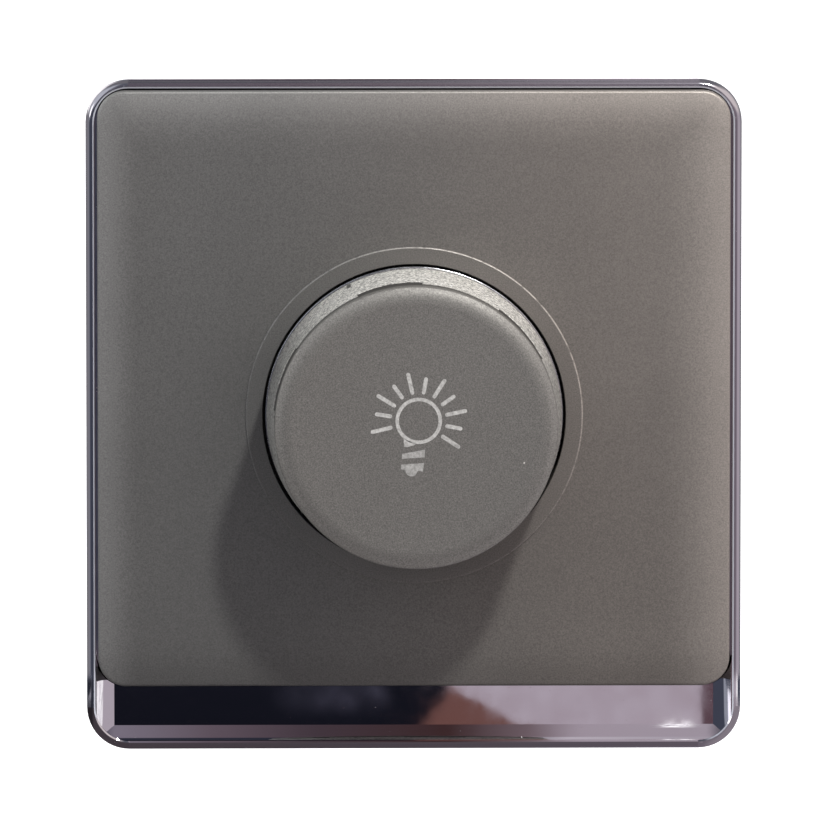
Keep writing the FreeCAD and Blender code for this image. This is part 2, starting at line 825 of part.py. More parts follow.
def knob_skirt():
    seat_r = foot_sleeve_r + hub_fit
    low = skirt_rear + skirt_round
    step = foot_sleeve_front + hub_fit
    inner_low = slope_r(step) - skirt_wall
    inner_high = slope_r(web_rear) - skirt_wall
    corner = V(skirt_r - skirt_round * (1 - math.sqrt(0.5)), 0, low - skirt_round * math.sqrt(0.5))
    start = V(skirt_r - skirt_round, 0, skirt_rear)
    edges = [Part.Arc(start, corner, V(skirt_r, 0, low)).toShape()]
    edges += lines([
        (skirt_r, low), (skirt_front_r, skirt_front), (recess_r, skirt_front), (recess_r, web_front),
        (0, web_front), (0, hub_rear), (hub_r, hub_rear), (hub_r, web_rear), (inner_high, web_rear),
        (inner_low, step), (seat_r, step), (seat_r, skirt_rear), (skirt_r - skirt_round, skirt_rear),
    ])
    body = turned(edges)
    bore = rod(spindle_r + hub_fit, hub_rear - overrun, spindle_front + hub_fit)
    across = spindle_r - spindle_flat + hub_fit
    flat_rear = spindle_front - flat_len + hub_fit
    side = spindle_r + overrun
    bore = bore.cut(block(-side, side, across, side, flat_rear, spindle_front + overrun))
    body = body.cut(bore)
    slit_end = spring_front + spring_wire
    body = body.cut(block(-hub_slit / 2, hub_slit / 2, -hub_r - overrun, 0, hub_rear - overrun, slit_end))
    groove = tube(hub_r + overrun, hub_r - spring_depth, spring_front - spring_wire, spring_front)
    body = body.cut(groove)
    for middle in notch_middles():
        r_in = recess_r - overrun
        r_out = skirt_r + overrun
        body = body.cut(wedge(r_in, r_out, web_front, skirt_front + overrun, middle, notch_angle))
    return body


def notch_middles():
    return [notch_phase + i * 360 / notch_count for i in range(notch_count)]


def knob_cap():
    """The cap with its softly crowned rim, and tabs that key it into the notches of the skirt."""
    slope = math.radians(cap_crown_slope)
    crown_r = cap_crown_w / math.sin(slope)
    side_front = cap_front - crown_r * (1 - math.cos(slope))
    half_in = crown_r * math.sin(slope / 2)
    half_drop = crown_r * (1 - math.cos(slope / 2))
    middle = V(cap_r - cap_crown_w + half_in, 0, cap_front - half_drop)
    spigot_r = recess_r - spigot_fit
    spigot_in = spigot_r - spigot_t
    under = cap_front - cap_skin
    flat_r = cap_r - cap_crown_w
    edges = lines([(cap_r, cap_rear), (cap_r, side_front)])
    edges.append(Part.Arc(V(cap_r, 0, side_front), middle, V(flat_r, 0, cap_front)).toShape())
    edges += lines([
        (flat_r, cap_front), (0, cap_front), (0, under), (spigot_in, under),
        (spigot_in, web_front), (spigot_r, web_front), (spigot_r, cap_rear), (cap_r, cap_rear),
    ])
    body = turned(edges)
    body = body.makeFillet(cap_edge_r, flat_edges(body, side_front))
    low = web_front + hub_fit
    cone = Part.makeCone(slope_r(low) - tab_drop, slope_r(cap_rear) - tab_drop, cap_rear - low, V(0, 0, low))
    for turn in notch_middles():
        tab = wedge(spigot_in + spigot_fit, cap_r + overrun, low, cap_rear, turn, notch_angle - tab_play)
        body = body.fuse(tab.common(cone))
    return body.removeSplitter()


def knob_spring():
    """An open ring of spring wire that squeezes the slit hub onto the spindle."""
    inner = hub_r - spring_depth + hub_fit
    body = tube(inner + spring_wire, inner, spring_front - spring_wire, spring_front)
    low = spring_front - spring_wire - overrun
    return body.cut(wedge(inner - overrun, hub_r + 2, low, spring_front + overrun, 90, spring_mouth))


def circuit_board():
    half = board_half
    low = board_rear - overrun
    high = board_front + overrun
    body = block(-half, half, -half, half, board_rear, board_front)
    for x, y in boss_places():
        corner = rod(boss_r + board_boss_gap, low, high, x, y)
        outer = block(min(x, 2 * x), max(x, 2 * x), min(y, 2 * y), max(y, 2 * y), low, high)
        body = body.cut(corner).cut(outer)
    body = body.cut(rod(m3_hole_r, low, high, 0, triac_screw_y()))
    for x in lug_xs():
        reach = lug_w / 2 + pad_play
        y0 = -lug_y - lug_t - pad_play
        body = body.cut(block(x - reach, x + reach, y0, pad_play - lug_y, low, high))
    for x in terminal_xs:
        reach = bar_w / 2 + pad_play
        leg = bar_leg_y()
        body = body.cut(block(x - reach, x + reach, leg - pad_play, leg + bar_t + pad_play, low, high))
    solids = sorted(body.Solids, key=lambda s: s.Volume)
    return solids[-1]


def triac_screw_y():
    return triac_y + triac_tab_h / 2 - triac_hole_up


def choke_core():
    mid = board_front + choke_core_h / 2 + wire_d
    core = tube(choke_core_r, choke_core_bore, mid - choke_core_h / 2, mid + choke_core_h / 2, choke_x, 0)
    rims = flat_edges(core, mid - choke_core_h / 2) + flat_edges(core, mid + choke_core_h / 2)
    return core.makeChamfer(wire_d / 2, rims)


def choke_winding():
    """Flat copper turns side by side round the ring core, touching in its bore."""
    low = board_front
    high = board_front + choke_core_h + 2 * wire_d
    inner = choke_core_bore - wire_d
    outer = choke_core_r + wire_d
    one = block(inner, outer, -wire_d / 2, wire_d / 2, low, high)
    hollow = block(
        inner + wire_d - wire_fit, outer - wire_d, -wire_d, wire_d, low + wire_d, high - wire_d,
    )
    one = one.cut(hollow)
    turns = []
    for i in range(choke_turns):
        turn = one.copy()
        turn.rotate(V(0, 0, 0), V(0, 0, 1), i * 360 / (choke_turns + 1))
        turns.append(turn)
    body = turns[0].multiFuse(turns[1:])
    body.translate(V(choke_x, 0, 0))
    return body


def boxed_part(size, place):
    """A moulded block that stands on the front of the board, with a softened top."""
    w, d, h = size
    x, y = place
    body = block(x - w / 2, x + w / 2, y - d / 2, y + d / 2, board_front, board_front + h)
    return body.makeFillet(d * cap_soft, flat_edges(body, board_front + h))


def heat_sink():
    rear = board_rear - sink_t
    half = sink_w / 2
    body = block(-half, half, sink_low, sink_high, rear, board_rear)
    for side in (-1, 1):
        x0, x1 = sorted((side * half, side * (half - sink_t)))
        body = body.fuse(block(x0, x1, sink_low, sink_high, rear - sink_fin, rear))
    body = body.cut(rod(m3_hole_r, rear - overrun, board_rear + overrun, 0, triac_screw_y()))
    return body.removeSplitter()


def triac():
    seat = board_rear - sink_t
    half = triac_w / 2
    low = triac_y - triac_tab_h / 2
    tab = block(-half, half, low, low + triac_tab_h, seat - triac_tab_t, seat)
    tab = tab.cut(rod(m3_hole_r, seat - triac_body_t, seat + overrun, 0, triac_screw_y()))
    body = tab.fuse(block(-half, half, low, low + triac_body_h, seat - triac_body_t, seat))
    lead_z = seat - triac_body_t / 2
    end_y = sink_low - triac_lead_len
    for i in (-1, 0, 1):
        x = i * triac_lead_pitch
        x0 = x - triac_lead_w / 2
        x1 = x + triac_lead_w / 2
        run = block(x0, x1, end_y, low, lead_z, lead_z + triac_lead_t)
        leg = block(x0, x1, end_y, end_y + triac_lead_t, lead_z, board_rear)
        body = body.fuse(run).fuse(leg)
    return body.removeSplitter()


def triac_screw():
    seat = board_rear - sink_t - triac_tab_t
    y = triac_screw_y()
    head = rod(m3_head_r, seat - m3_head_h, seat, 0, y)
    head = head.makeFillet(m3_head_h / 3, flat_edges(head, seat - m3_head_h))
    body = head.fuse(rod(m3_r, seat, board_front + m3_nut_t, 0, y))
    cut_w = slot_cut_w / 2
    arm = m3_head_r + overrun
    low = seat - m3_head_h
    return body.cut(block(-arm, arm, y - cut_w, y + cut_w, low - overrun, low + slot_cut_depth))


def triac_nut():
    y = triac_screw_y()
    body = hexagon(m3_flats, board_front, board_front + m3_nut_t, 0, y)
    hole_to = board_front + m3_nut_t + overrun
    return body.cut(rod(m3_r + hub_fit, board_front - overrun, hole_to, 0, y))


def fuse_link():
    z = board_rear - fuse_rise
    right = V(1, 0, 0)
    body = rod_along(fuse_r, fuse_len, V(-fuse_len / 2, fuse_y, z), right)
    for start in (-fuse_len / 2, fuse_len / 2 - fuse_cap_len):
        body = body.fuse(rod_along(fuse_cap_r, fuse_cap_len, V(start, fuse_y, z), right))
    return body.removeSplitter()


def fuse_clip(side):
    """A bent spring strip that cups one end cap of the fuse."""
    z = board_rear - fuse_rise
    middle = side * (fuse_len - fuse_cap_len) / 2
    x0 = middle - fuse_clip_w / 2
    right = V(1, 0, 0)
    inner = fuse_cap_r + hub_fit
    cup = rod_along(inner + fuse_clip_t, fuse_clip_w, V(x0, fuse_y, z), right)
    foot = block(
        x0, x0 + fuse_clip_w, fuse_y - fuse_clip_t, fuse_y + fuse_clip_t, z + inner, board_rear,
    )
    body = cup.fuse(foot)
    body = body.cut(rod_along(inner, fuse_clip_w + 2 * overrun, V(x0 - overrun, fuse_y, z), right))
    half = fuse_r - fuse_clip_t / 2
    mouth = block(x0 - overrun, x0 + fuse_clip_w + overrun, fuse_y - half, fuse_y + half, z - 2 * inner, z)
    return body.cut(mouth)


def axial_part(body_r, body_len, x, y):
    """A small part that lies on the rear of the board along y, on two bent leads."""
    z = board_rear - body_r
    body = rod_along(body_r, body_len, V(x, y - body_len / 2, z), V(0, 1, 0))
    for side in (-1, 1):
        near = y + side * (body_len / 2 - lead_bend_r)
        far = y + side * (body_len / 2 + lead_over)
        bend = far - side * lead_bend_r
        middle = bend + side * lead_bend_r * math.sqrt(0.5)
        rise = lead_bend_r * (1 - math.sqrt(0.5))
        path = Part.Wire([
            Part.LineSegment(V(x, near, z), V(x, bend, z)).toShape(),
            Part.Arc(V(x, bend, z), V(x, middle, z + rise), V(x, far, z + lead_bend_r)).toShape(),
            Part.LineSegment(V(x, far, z + lead_bend_r), V(x, far, board_rear)).toShape(),
        ])
        ring = Part.Wire([Part.Circle(V(x, near, z), V(0, 1, 0), lead_r).toShape()])
        body = body.fuse(path.makePipeShell([ring], True, False))
    return body


def bar_leg_y():
    return chamber_y1 + bar_play


def terminal_block():
    half = terminal_pitch / 2 + chamber_w / 2 + block_wall
    y1 = bar_leg_y() + bar_t + block_front_wall
    body = block(-half, half, block_y0, y1, block_rear, board_rear)
    chamber_end = head_front + clamp_head_play / 2
    for x in terminal_xs:
        x0 = x - chamber_w / 2
        x1 = x + chamber_w / 2
        body = body.cut(block(x0, x1, chamber_y0, chamber_y1, chamber_end, board_rear - block_skin))
        reach = bar_w / 2 + wire_slot_play
        body = body.cut(block(
            x - reach, x + reach, block_y0 - overrun, chamber_y0 + skim, bar_front, wire_floor,
        ))
        reach = bar_w / 2 + bar_slot_play
        body = body.cut(block(
            x - reach, x + reach, chamber_y1 - skim, bar_leg_y() + bar_t + bar_slot_play,
            bar_rear - bar_slot_play, board_rear + overrun,
        ))
        head_low = head_rear - clamp_head_play
        head_room = rod(clamp_head_r + clamp_head_play, head_low, chamber_end + overrun, x, chamber_y)
        chamber = block(x0, x1, chamber_y0, chamber_y1, block_rear, chamber_end + overrun)
        body = body.cut(head_room.common(chamber))
        body = body.cut(rod(screwdriver_r, block_rear - overrun, head_rear, x, chamber_y))
    return body


def terminal_bar(x):
    """A copper strip under the screw tip, with a leg down through the board."""
    leg = bar_leg_y()
    half = bar_w / 2
    strip = block(x - half, x + half, chamber_y0 + clamp_play_y / 2, leg + bar_t, bar_rear, bar_front)
    down = block(x - half, x + half, leg, leg + bar_t, bar_rear, board_front + bar_t / 2)
    return strip.fuse(down).removeSplitter()


def clamp_cage(x):
    """The rising cage that pulls the wire up against the bar."""
    half = chamber_w / 2 - chamber_play
    y0 = chamber_y0 + clamp_play_y
    y1 = chamber_y1 - clamp_play_y
    body = block(x - half, x + half, y0, y1, clamp_rear, clamp_base)
    inner = half - clamp_sheet
    body = body.cut(block(x - inner, x + inner, y0 - overrun, y1 + overrun, clamp_top_front, wire_floor))
    hole_from = clamp_rear - overrun
    hole = rod(clamp_screw_r + clamp_screw_fit, hole_from, clamp_top_front + overrun, x, chamber_y)
    return body.cut(hole)


def clamp_screw(x):
    body = rod(clamp_screw_r, head_front, bar_rear - clamp_screw_fit, x, chamber_y)
    head = rod(clamp_head_r, head_rear, head_front, x, chamber_y)
    body = body.fuse(head)
    arm = clamp_head_r + overrun
    cut_w = slot_cut_w / 2
    low = head_rear - overrun
    return body.cut(block(
        x - arm, x + arm, chamber_y - cut_w, chamber_y + cut_w, low, head_rear + slot_cut_depth,
    ))


os.makedirs("parts", exist_ok=True)
save("bezel_frame", bezel_frame())
save("fascia_plate", fascia_plate())
save("mounting_frame", mounting_frame())
save("rear_housing", rear_housing())
save("housing_screws", *[housing_screw(x, y) for x, y in boss_places()])
save("knob_cap", knob_cap())
save("knob_skirt", knob_skirt())
save("knob_foot_ring", knob_foot_ring())
save("knob_spring", knob_spring())
save("spindle", spindle())
save("spindle_clip", spindle_clip())
save("pot_rotor", pot_rotor())
save("wiper_brush", wiper_brush())
save("pot_bushing", pot_bushing())
save("pot_nut", pot_nut())
save("pot_washer", pot_washer())
save("pot_case", pot_case())
save("pot_wafer", pot_wafer())
save("pot_lugs", *[pot_lug(x) for x in lug_xs()])
save("pot_switch", pot_switch())
save("circuit_board", circuit_board())
save("choke_core", choke_core())
save("choke_winding", choke_winding())
film_cap = (film_cap_x1 - film_cap_x0, film_cap_d, film_cap_h)
save("film_capacitor", boxed_part(film_cap, (film_cap_x, film_cap_y)))
save("timing_capacitor", boxed_part(small_cap, (film_cap_x, small_cap_y)))
save("heat_sink", heat_sink())
save("triac", triac())
save("triac_screw", triac_screw())
save("triac_nut", triac_nut())
save("fuse_link", fuse_link())
save("fuse_clips", fuse_clip(-1), fuse_clip(1))
save("diac", axial_part(diac_r, diac_len, diac_inset - board_half, diac_y))
for number, inset in enumerate(resistor_insets, 1):
    body = axial_part(resistor_r, resistor_len, board_half - inset, resistor_y)
    save("resistor_" + str(number), body)
save("terminal_block", terminal_block())
for name, x in zip(terminal_names, terminal_xs):
    save("terminal_bar_" + name, terminal_bar(x))
    save("clamp_cage_" + name, clamp_cage(x))
    save("clamp_screw_" + name, clamp_screw(x))
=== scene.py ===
import json
import math

import bmesh
import bpy
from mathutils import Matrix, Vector

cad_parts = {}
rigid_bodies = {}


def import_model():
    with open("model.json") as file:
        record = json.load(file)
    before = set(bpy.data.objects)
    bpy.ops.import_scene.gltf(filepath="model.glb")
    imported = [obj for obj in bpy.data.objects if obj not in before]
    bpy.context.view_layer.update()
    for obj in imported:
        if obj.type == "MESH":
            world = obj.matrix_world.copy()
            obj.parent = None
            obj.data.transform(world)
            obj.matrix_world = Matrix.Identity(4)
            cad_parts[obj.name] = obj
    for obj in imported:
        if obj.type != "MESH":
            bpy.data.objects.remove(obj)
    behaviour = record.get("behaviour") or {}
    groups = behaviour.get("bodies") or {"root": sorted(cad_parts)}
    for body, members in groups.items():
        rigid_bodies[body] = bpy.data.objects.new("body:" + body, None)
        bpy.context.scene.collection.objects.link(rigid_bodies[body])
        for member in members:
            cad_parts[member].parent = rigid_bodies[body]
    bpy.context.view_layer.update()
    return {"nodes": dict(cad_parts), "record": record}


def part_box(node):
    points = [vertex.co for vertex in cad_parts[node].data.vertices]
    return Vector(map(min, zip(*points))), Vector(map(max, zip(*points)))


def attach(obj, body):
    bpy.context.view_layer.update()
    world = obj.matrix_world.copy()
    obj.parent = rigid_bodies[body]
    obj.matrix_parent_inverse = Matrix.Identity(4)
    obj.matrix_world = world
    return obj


for left_over in list(bpy.data.objects):
    bpy.data.objects.remove(left_over)

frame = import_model()
nodes = frame["nodes"]

MM = 0.001
DEGREES_PER_RADIAN = 180 / math.pi

# the picture: a square frame, with the plate's front at a known scale
PICTURE_PX = 828
PX_PER_M = 7616
SENSOR_MM = 36
CAMERA_DISTANCE = 1.5
CAMERA_AZIMUTH = -1.03
CAMERA_ELEVATION = 5.72
CAMERA_AIM = Vector((0.00003, -0.0075, -0.0001))
CLIP_START = 0.01
CLIP_END = 100.0

# the one lamp, above and to the right, and the floor, in metres and watts
LAMP_PLACE = (0.165, -0.41, 0.442)
LAMP_SIZE = 0.055
LAMP_POWER = 3.85
FLOOR_HALF_W = 4.0
FLOOR_FRONT_Y = -0.45
FLOOR_BACK_Y = 8.0
FLOOR_Z = -0.16
FLOOR_COLOUR = (0.78, 0.78, 0.78, 1.0)
FLOOR_ROUGHNESS = 0.9
FLOOR_GLOW = 0.86

# the bulb sign on the cap, in millimetres from the middle of its ring, and degrees
SIGN_FROM_AXIS = (0.29, 1.0)
SIGN_RING_R = 2.79
SIGN_LINE_W = 0.46
SIGN_TILT = -9.9
SIGN_RISE = 0.015
RAY_COUNT = 11
RAY_STEP = 22.7
RAY_START = 3.75
RAY_LONG_END = 6.15
RAY_SHORT_END = 5.5
RAY_W = 0.51
RAY_END_STEPS = 10
RING_STEPS = 72
BULB_CAP_AT = (-0.95, -6.45)
BULB_CAP_R = 0.78

# the results of a change that rises or falls, and where most of a noise lies
RISE = (0.0, 1.0)
FALL = (1.0, 0.0)
NOISE_SPAN = (0.3, 0.7)
INNER_NOISE_SPAN = (0.35, 0.65)

# painted highlight and shade on the cap, and one pale fleck, in metres from the knob's axis or the wall
# a tone multiplies the paint's colour, and a lift is added to a tone
CAP_RIM_R = (0.0170, 0.0180)
CAP_RIM_HIGHLIGHT_TONES = (1.0, 1.22)
CAP_REAR_Y = (-0.0253, -0.0243)
CAP_GROOVE_R = (0.0180, 0.0183)
CAP_GROOVE_SHADE = 0.65
FLECK_AT = (0.01397, -0.00451)
FLECK_R = (0.00008, 0.00014)
FLECK_LIFTS = (3.0, 0.0)

# painted light and shade on the skirt: a painted lit top and painted shade in the groove under the cap;
# and one pit
SKIRT_GROOVE_Y = (-0.0231, -0.0226)
SKIRT_GROOVE_SHADE_TONES = (0.4, 1.0)
PIT_AT = (-0.0086, 0.0172)
PIT_R = (0.0002, 0.0004)
PIT_MIDDLE_Y = -0.0130
PIT_HALF_LENGTH = (0.0011, 0.0014)
PIT_TONES = (1.0, 0.2)
SKIRT_LEAN = 0.1
SKIRT_TOP_Z = (0.005, 0.018)
SKIRT_LIT_TOP_TONES = (0.6, 1.28)

# painted light on the fascia: a painted sheen on its rims, a painted highlight on its ring line, and
# painted light that grows brighter and warmer to the right
LEFT_RIM_X = (-0.0358, -0.0416)
LEFT_RIM_LIFTS = (0.0, 0.75)
RIGHT_RIM_X = (0.032, 0.042)
RIGHT_RIM_LIFTS = (0.0, 0.58)
TOP_RIM_Z = (0.0345, 0.0422)
TOP_RIM_LIFTS = (0.0, 0.50)
RING_LINE_R = 0.02206
RING_LINE_HALF_W = (0.00004, 0.00015)
RING_CHIP_MM = 0.5
RING_CHIP_SPAN = (0.3, 0.5)
RING_LEAN = 0.8
RING_LIT_PLACES = (-0.012, 0.024)
RING_LIT_LIFTS = (0.25, 1.2)
# painted light: brighter to the right and towards the top, darker at the low edge, and warmer to the right
SLOPE_X = (-0.015, 0.035)
SLOPE_X_TONES = (0.95, 1.33)
LOW_EDGE_Z = (-0.036, -0.028)
LOW_EDGE_TONES = (0.9, 1.0)
SLOPE_Z = (-0.031, 0.035)
SLOPE_Z_TONES = (0.92, 1.09)
WARMTH_X = (-0.03, 0.03)
COOL_SIDE = (0.985, 1.01, 1.045, 1.0)
WARM_SIDE = (1.05, 0.985, 0.955, 1.0)

# painted places of the bezel: a painted highlight line on its inner bevel, a painted dark reflection on
# its low left rim, and its satin outer edge
# a face's outlook is its direction times its place in metres: less than 0 where it looks inward
INWARD_OUTLOOK = (-0.012, -0.009)
BEVEL_Y = (-0.00841, -0.00837)
BEVEL_LOW_Z = (-0.0405, -0.0395)
BEVEL_HIGHLIGHT_COLOUR = (0.42, 0.43, 0.47, 1.0)
BEVEL_DULLNESS = 0.5
DARK_RIM_X = (-0.0424, -0.0420)
DARK_RIM_Z = (-0.0355, -0.0345)
DARK_RIM_SHARE = 0.7
DARK_RIM_REFLECTION_COLOUR = (0.02, 0.02, 0.025, 1.0)
OUTWARD_OUTLOOK = (0.001, 0.004)
SATIN_Z = (0.0365, 0.0395)
SATIN_DULLNESS = 0.10
DUST_COLOUR = (0.62, 0.6, 0.58, 1.0)

# the made-up room, in degrees round the part from straight ahead or up from the horizon
ROUND = (-180, 180)
AHEAD = (-1.5, 3.0)
UPWARD = (0, 90)
ROOM_LIGHT = 1.6
WALL = (0.30, 0.30, 0.32)
BLUE = (0.075, 0.085, 0.12)
PLUM = (0.13, 0.10, 0.12)
ROSE = (0.26, 0.22, 0.26)
PALE = (0.62, 0.56, 0.62)
COOL = (0.31, 0.32, 0.36)
DUSK = (0.13, 0.13, 0.16)
SKY = (0.75, 0.79, 0.87)
LAMPLIGHT = (1.0, 0.92, 0.91)
WINDOW = (1.8, 1.8, 1.8)

# where the zones above and below eye level begin or end, as soft edges in degrees
# an edge named X is given by how far the direction points to the right, from -1 to 1
UPPER_START = (4.0, 14.0)
UNDER_END = (-9.5, -8.5)
SIDES_START = (8.0, 20.0)
CEILING_START = (40.0, 65.0)
UNDER_MIDDLE_X = (0.028, 0.036)
UNDER_RIGHT_X = (0.05, 0.4)
UNDER_LEFT_COLOUR = (0.09, 0.075, 0.085, 1.0)
UNDER_MIDDLE_COLOUR = (0.23, 0.20, 0.24, 1.0)
UNDER_RIGHT_COLOUR = (0.38, 0.34, 0.38, 1.0)
LEFT_WINDOW_ROUND = ((-64.0, -60.0), (-50.0, -46.0))
LEFT_WINDOW_UP = ((2.0, 4.0), (17.0, 20.0))
LEFT_WINDOW_LEVEL = 3.0
PATCH_SCALE = 9.0
PATCH_SHARES = (0.0, 0.35)
PATCH_LEVEL = 0.02

# the zone beside the strip's view, which the strip's ends mirror: glints, and a crescent at the left
BESIDE_UP = ((-9.0, -8.6), (-7.05, -7.02))
GLINT_ROUND = ((44.0, 48.0), (75.0, 80.0))
GLINT_FOOT = (-7.255, -7.245)
GLINT_STREAKS = (0.4, 0.5)
GLINT_LEVEL = 1.5
STREAK_SCALES = (0.1, 55.0)
CRESCENT_END = (-44.0, -40.0)
CRESCENT_FOOT = (-7.275, -7.262)
CRESCENT_SLANT_UP = (-7.2, -7.08)
CRESCENT_SLANT_ROUND = (-125.0, -50.0)
CRESCENT_START = (0.0, 8.0)
CRESCENT_BRIGHT_END = (-60.0, -54.0)
CRESCENT_DIM_COLOUR = (0.42, 0.45, 0.52, 1.0)
CRESCENT_BRIGHT_COLOUR = (1.75, 1.75, 1.9, 1.0)

# straight ahead: the column that the strip's lower round mirrors, and the view in its flat floor
COLUMN_ROUND = ((-1.4, -1.2), (2.7, 2.9))
COLUMN_UP = ((-6.98, -6.85), (78.0, 88.0))
BROW_START = (58.0, 66.0)
VIEW_UP = ((-10.0, -9.0), (-6.98, -6.9))
RIPPLE_SCALE = 500.0
RIPPLE_SHIFTS = (-0.025, 0.025)
PALE_SLANT = 1.78
PALE_START = (-11.41, -11.37)
WARM_SLANT = -0.55
WARM_START = (5.07, 5.115)
HAZE_ROUND = ((0.25, 0.6), (0.82, 0.95))
HAZE_FOOT = (-7.25, -7.12)
HAZE_SHARES = (0.2, 0.9)
MAROON_START = (2.486, 2.496)
NIGHT_COLOUR = (0.010, 0.011, 0.018, 1.0)
HAZE_COLOUR = (0.07, 0.07, 0.10, 1.0)
WARM_COLOUR = (0.22, 0.105, 0.09, 1.0)
PALE_DARKER = (0.56, 0.48, 0.54, 1.0)
PALE_LIGHTER = (0.64, 0.57, 0.64, 1.0)
MAROON_COLOUR = (0.145, 0.085, 0.105, 1.0)

# the narrow crinkled highlight near the strip's right end
PANE_X = ((0.0390, 0.0398), (0.0419, 0.0425))
PANE_SQUEEZE = 3000.0
PANE_UP = (-8.0, 22.0)
PANE_CRINKLES = (0.0, 5.0)
CRINKLE_EDGE = (0.44, 0.54)
CRINKLE_SPAN = (0.4, 0.7)
CRINKLE_SHIFTS = (0.0, -0.02)
PANE_FLAT_FOOT = (-9.0, -8.6)
PANE_FLAT_HEAD = (-7.282, -7.272)
PANE_ROUND_UP = ((-6.98, -6.9), (12.0, 22.0))
PANE_LEVEL = 2.0


def join(tree, value, socket):
    if isinstance(value, bpy.types.NodeSocket):
        tree.links.new(value, socket)
    else:
        socket.default_value = value


def add_node(tree, kind, inputs=None, **settings):
    """A shader node with its inputs linked or set."""
    node = tree.nodes.new(kind)
    for key, value in settings.items():
        setattr(node, key, value)
    for key, value in (inputs or {}).items():
        join(tree, value, node.inputs[key])
    return node


def maths(tree, operation, a, b=0.0):
    return add_node(tree, "ShaderNodeMath", {0: a, 1: b}, operation=operation).outputs[0]


def product(tree, first, *others):
    for other in others:
        first = maths(tree, "MULTIPLY", first, other)
    return first


def total(tree, first, *others):
    for other in others:
        first = maths(tree, "ADD", first, other)
    return first


def split(tree, vector):
    return add_node(tree, "ShaderNodeSeparateXYZ", {0: vector}).outputs


def change(tree, value, places, results, kind):
    node = add_node(
        tree, "ShaderNodeMapRange",
        {
            "Value": value, "From Min": places[0], "From Max": places[1],
            "To Min": results[0], "To Max": results[1],
        },
        interpolation_type=kind,
    )
    return node.outputs["Result"]


def smooth_step(tree, value, places, results=RISE):
    """Goes softly from the first result to the second, between the two places."""
    return change(tree, value, places, results, "SMOOTHSTEP")


def spread(tree, value, places, results):
    """Goes evenly from the first result to the second, between the two places."""
    return change(tree, value, places, results, "LINEAR")


def between(tree, value, start, end):
    """1 inside two soft edges, each given by the places where it begins and ends."""
    return product(tree, smooth_step(tree, value, start), smooth_step(tree, value, end, FALL))


def mixed(tree, share, a, b, blend="MIX"):
    node = add_node(tree, "ShaderNodeMix", data_type="RGBA", blend_type=blend)
    join(tree, share, node.inputs[0])
    join(tree, a, node.inputs[6])
    join(tree, b, node.inputs[7])
    return node.outputs[2]


def grey(level):
    return (level, level, level, 1.0)


def opaque(colour):
    return tuple(colour) + (1.0,)


def ramp(tree, value, span, stops):
    """Colours at the given places of a span, with even changes from one to the next."""
    start, end = span
    node = add_node(tree, "ShaderNodeValToRGB", {0: spread(tree, value, span, RISE)})
    elements = node.color_ramp.elements
    while len(elements) < len(stops):
        elements.new(0.5)
    for element, (place, colour) in zip(elements, stops):
        element.position = (place - start) / (end - start)
        element.color = opaque(colour)
    return node.outputs[0]


def object_place(tree):
    return add_node(tree, "ShaderNodeTexCoord").outputs["Object"]


def plain_noise(tree, vector, scale, detail, roughness=0.5, distortion=0.0):
    node = add_node(tree, "ShaderNodeTexNoise", {
        "Vector": vector, "Scale": scale, "Detail": detail,
        "Roughness": roughness, "Distortion": distortion,
    })
    return node.outputs[0]


def noise(tree, place, grain_mm, detail, roughness=0.5):
    """Noise with grains of about the given size, from 0 to 1."""
    return plain_noise(tree, place, 1 / (grain_mm * MM * 2), detail, roughness)


def distance(tree, across, up, x, z):
    """How far a place on the face is from (x, z), in metres."""
    dx = maths(tree, "SUBTRACT", across, x)
    dz = maths(tree, "SUBTRACT", up, z)
    return maths(tree, "SQRT", total(tree, product(tree, dx, dx), product(tree, dz, dz)))


def new_material():
    material = bpy.data.materials.new("unnamed")
    material.use_nodes = True
    tree = material.node_tree
    return material, tree, tree.nodes["Principled BSDF"]


def set_bump(tree, shader, height, depth_mm):
    bump = add_node(tree, "ShaderNodeBump", {
        "Height": height, "Distance": depth_mm * MM, "Strength": 1.0,
    })
    join(tree, bump.outputs[0], shader.inputs["Normal"])


def set_base(tree, shader, tint, level):
    """The base colour: a tint, made lighter or darker by a level that differs from place to place."""
    level_colour = add_node(tree, "ShaderNodeCombineColor", {0: level, 1: level, 2: level}).outputs[0]
    join(tree, mixed(tree, 1.0, tint, level_colour, "MULTIPLY"), shader.inputs["Base Color"])


def cap_painted_light_and_fleck(tree, place):
    """The cap's painted highlight on its rim, painted shade in the groove behind it, and one pale fleck.
    """
    across, depth, up = split(tree, place)
    radius = distance(tree, across, up, 0.0, 0.0)
    # a painted highlight: the rim is lighter
    rim = smooth_step(tree, radius, CAP_RIM_R, CAP_RIM_HIGHLIGHT_TONES)
    # painted shade in the groove between the cap and the skirt
    behind = smooth_step(tree, depth, CAP_REAR_Y)
    groove_shade = product(tree, behind, smooth_step(tree, radius, CAP_GROOVE_R))
    fleck = smooth_step(tree, distance(tree, across, up, *FLECK_AT), FLECK_R, FLECK_LIFTS)
    shade = maths(tree, "SUBTRACT", 1.0, product(tree, groove_shade, CAP_GROOVE_SHADE))
    return product(tree, total(tree, rim, fleck), shade), grey(1.0)


def skirt_painted_light_and_pit(tree, place):
    """The skirt has painted light at its top, painted shade at the groove under the cap, and one pit."""
    across, depth, up = split(tree, place)
    # painted shade in the groove under the cap
    groove_shade = smooth_step(tree, depth, SKIRT_GROOVE_Y, SKIRT_GROOVE_SHADE_TONES)
    along = maths(tree, "ABSOLUTE", maths(tree, "SUBTRACT", depth, PIT_MIDDLE_Y))
    pit = smooth_step(tree, distance(tree, across, up, *PIT_AT), PIT_R, FALL)
    pit = product(tree, pit, smooth_step(tree, along, PIT_HALF_LENGTH, FALL))
    pit = spread(tree, pit, RISE, PIT_TONES)
    # painted light: brighter towards the top, leaning to the right
    height = total(tree, up, product(tree, across, SKIRT_LEAN))
    top = smooth_step(tree, height, SKIRT_TOP_Z, SKIRT_LIT_TOP_TONES)
    return product(tree, groove_shade, pit, top), grey(1.0)


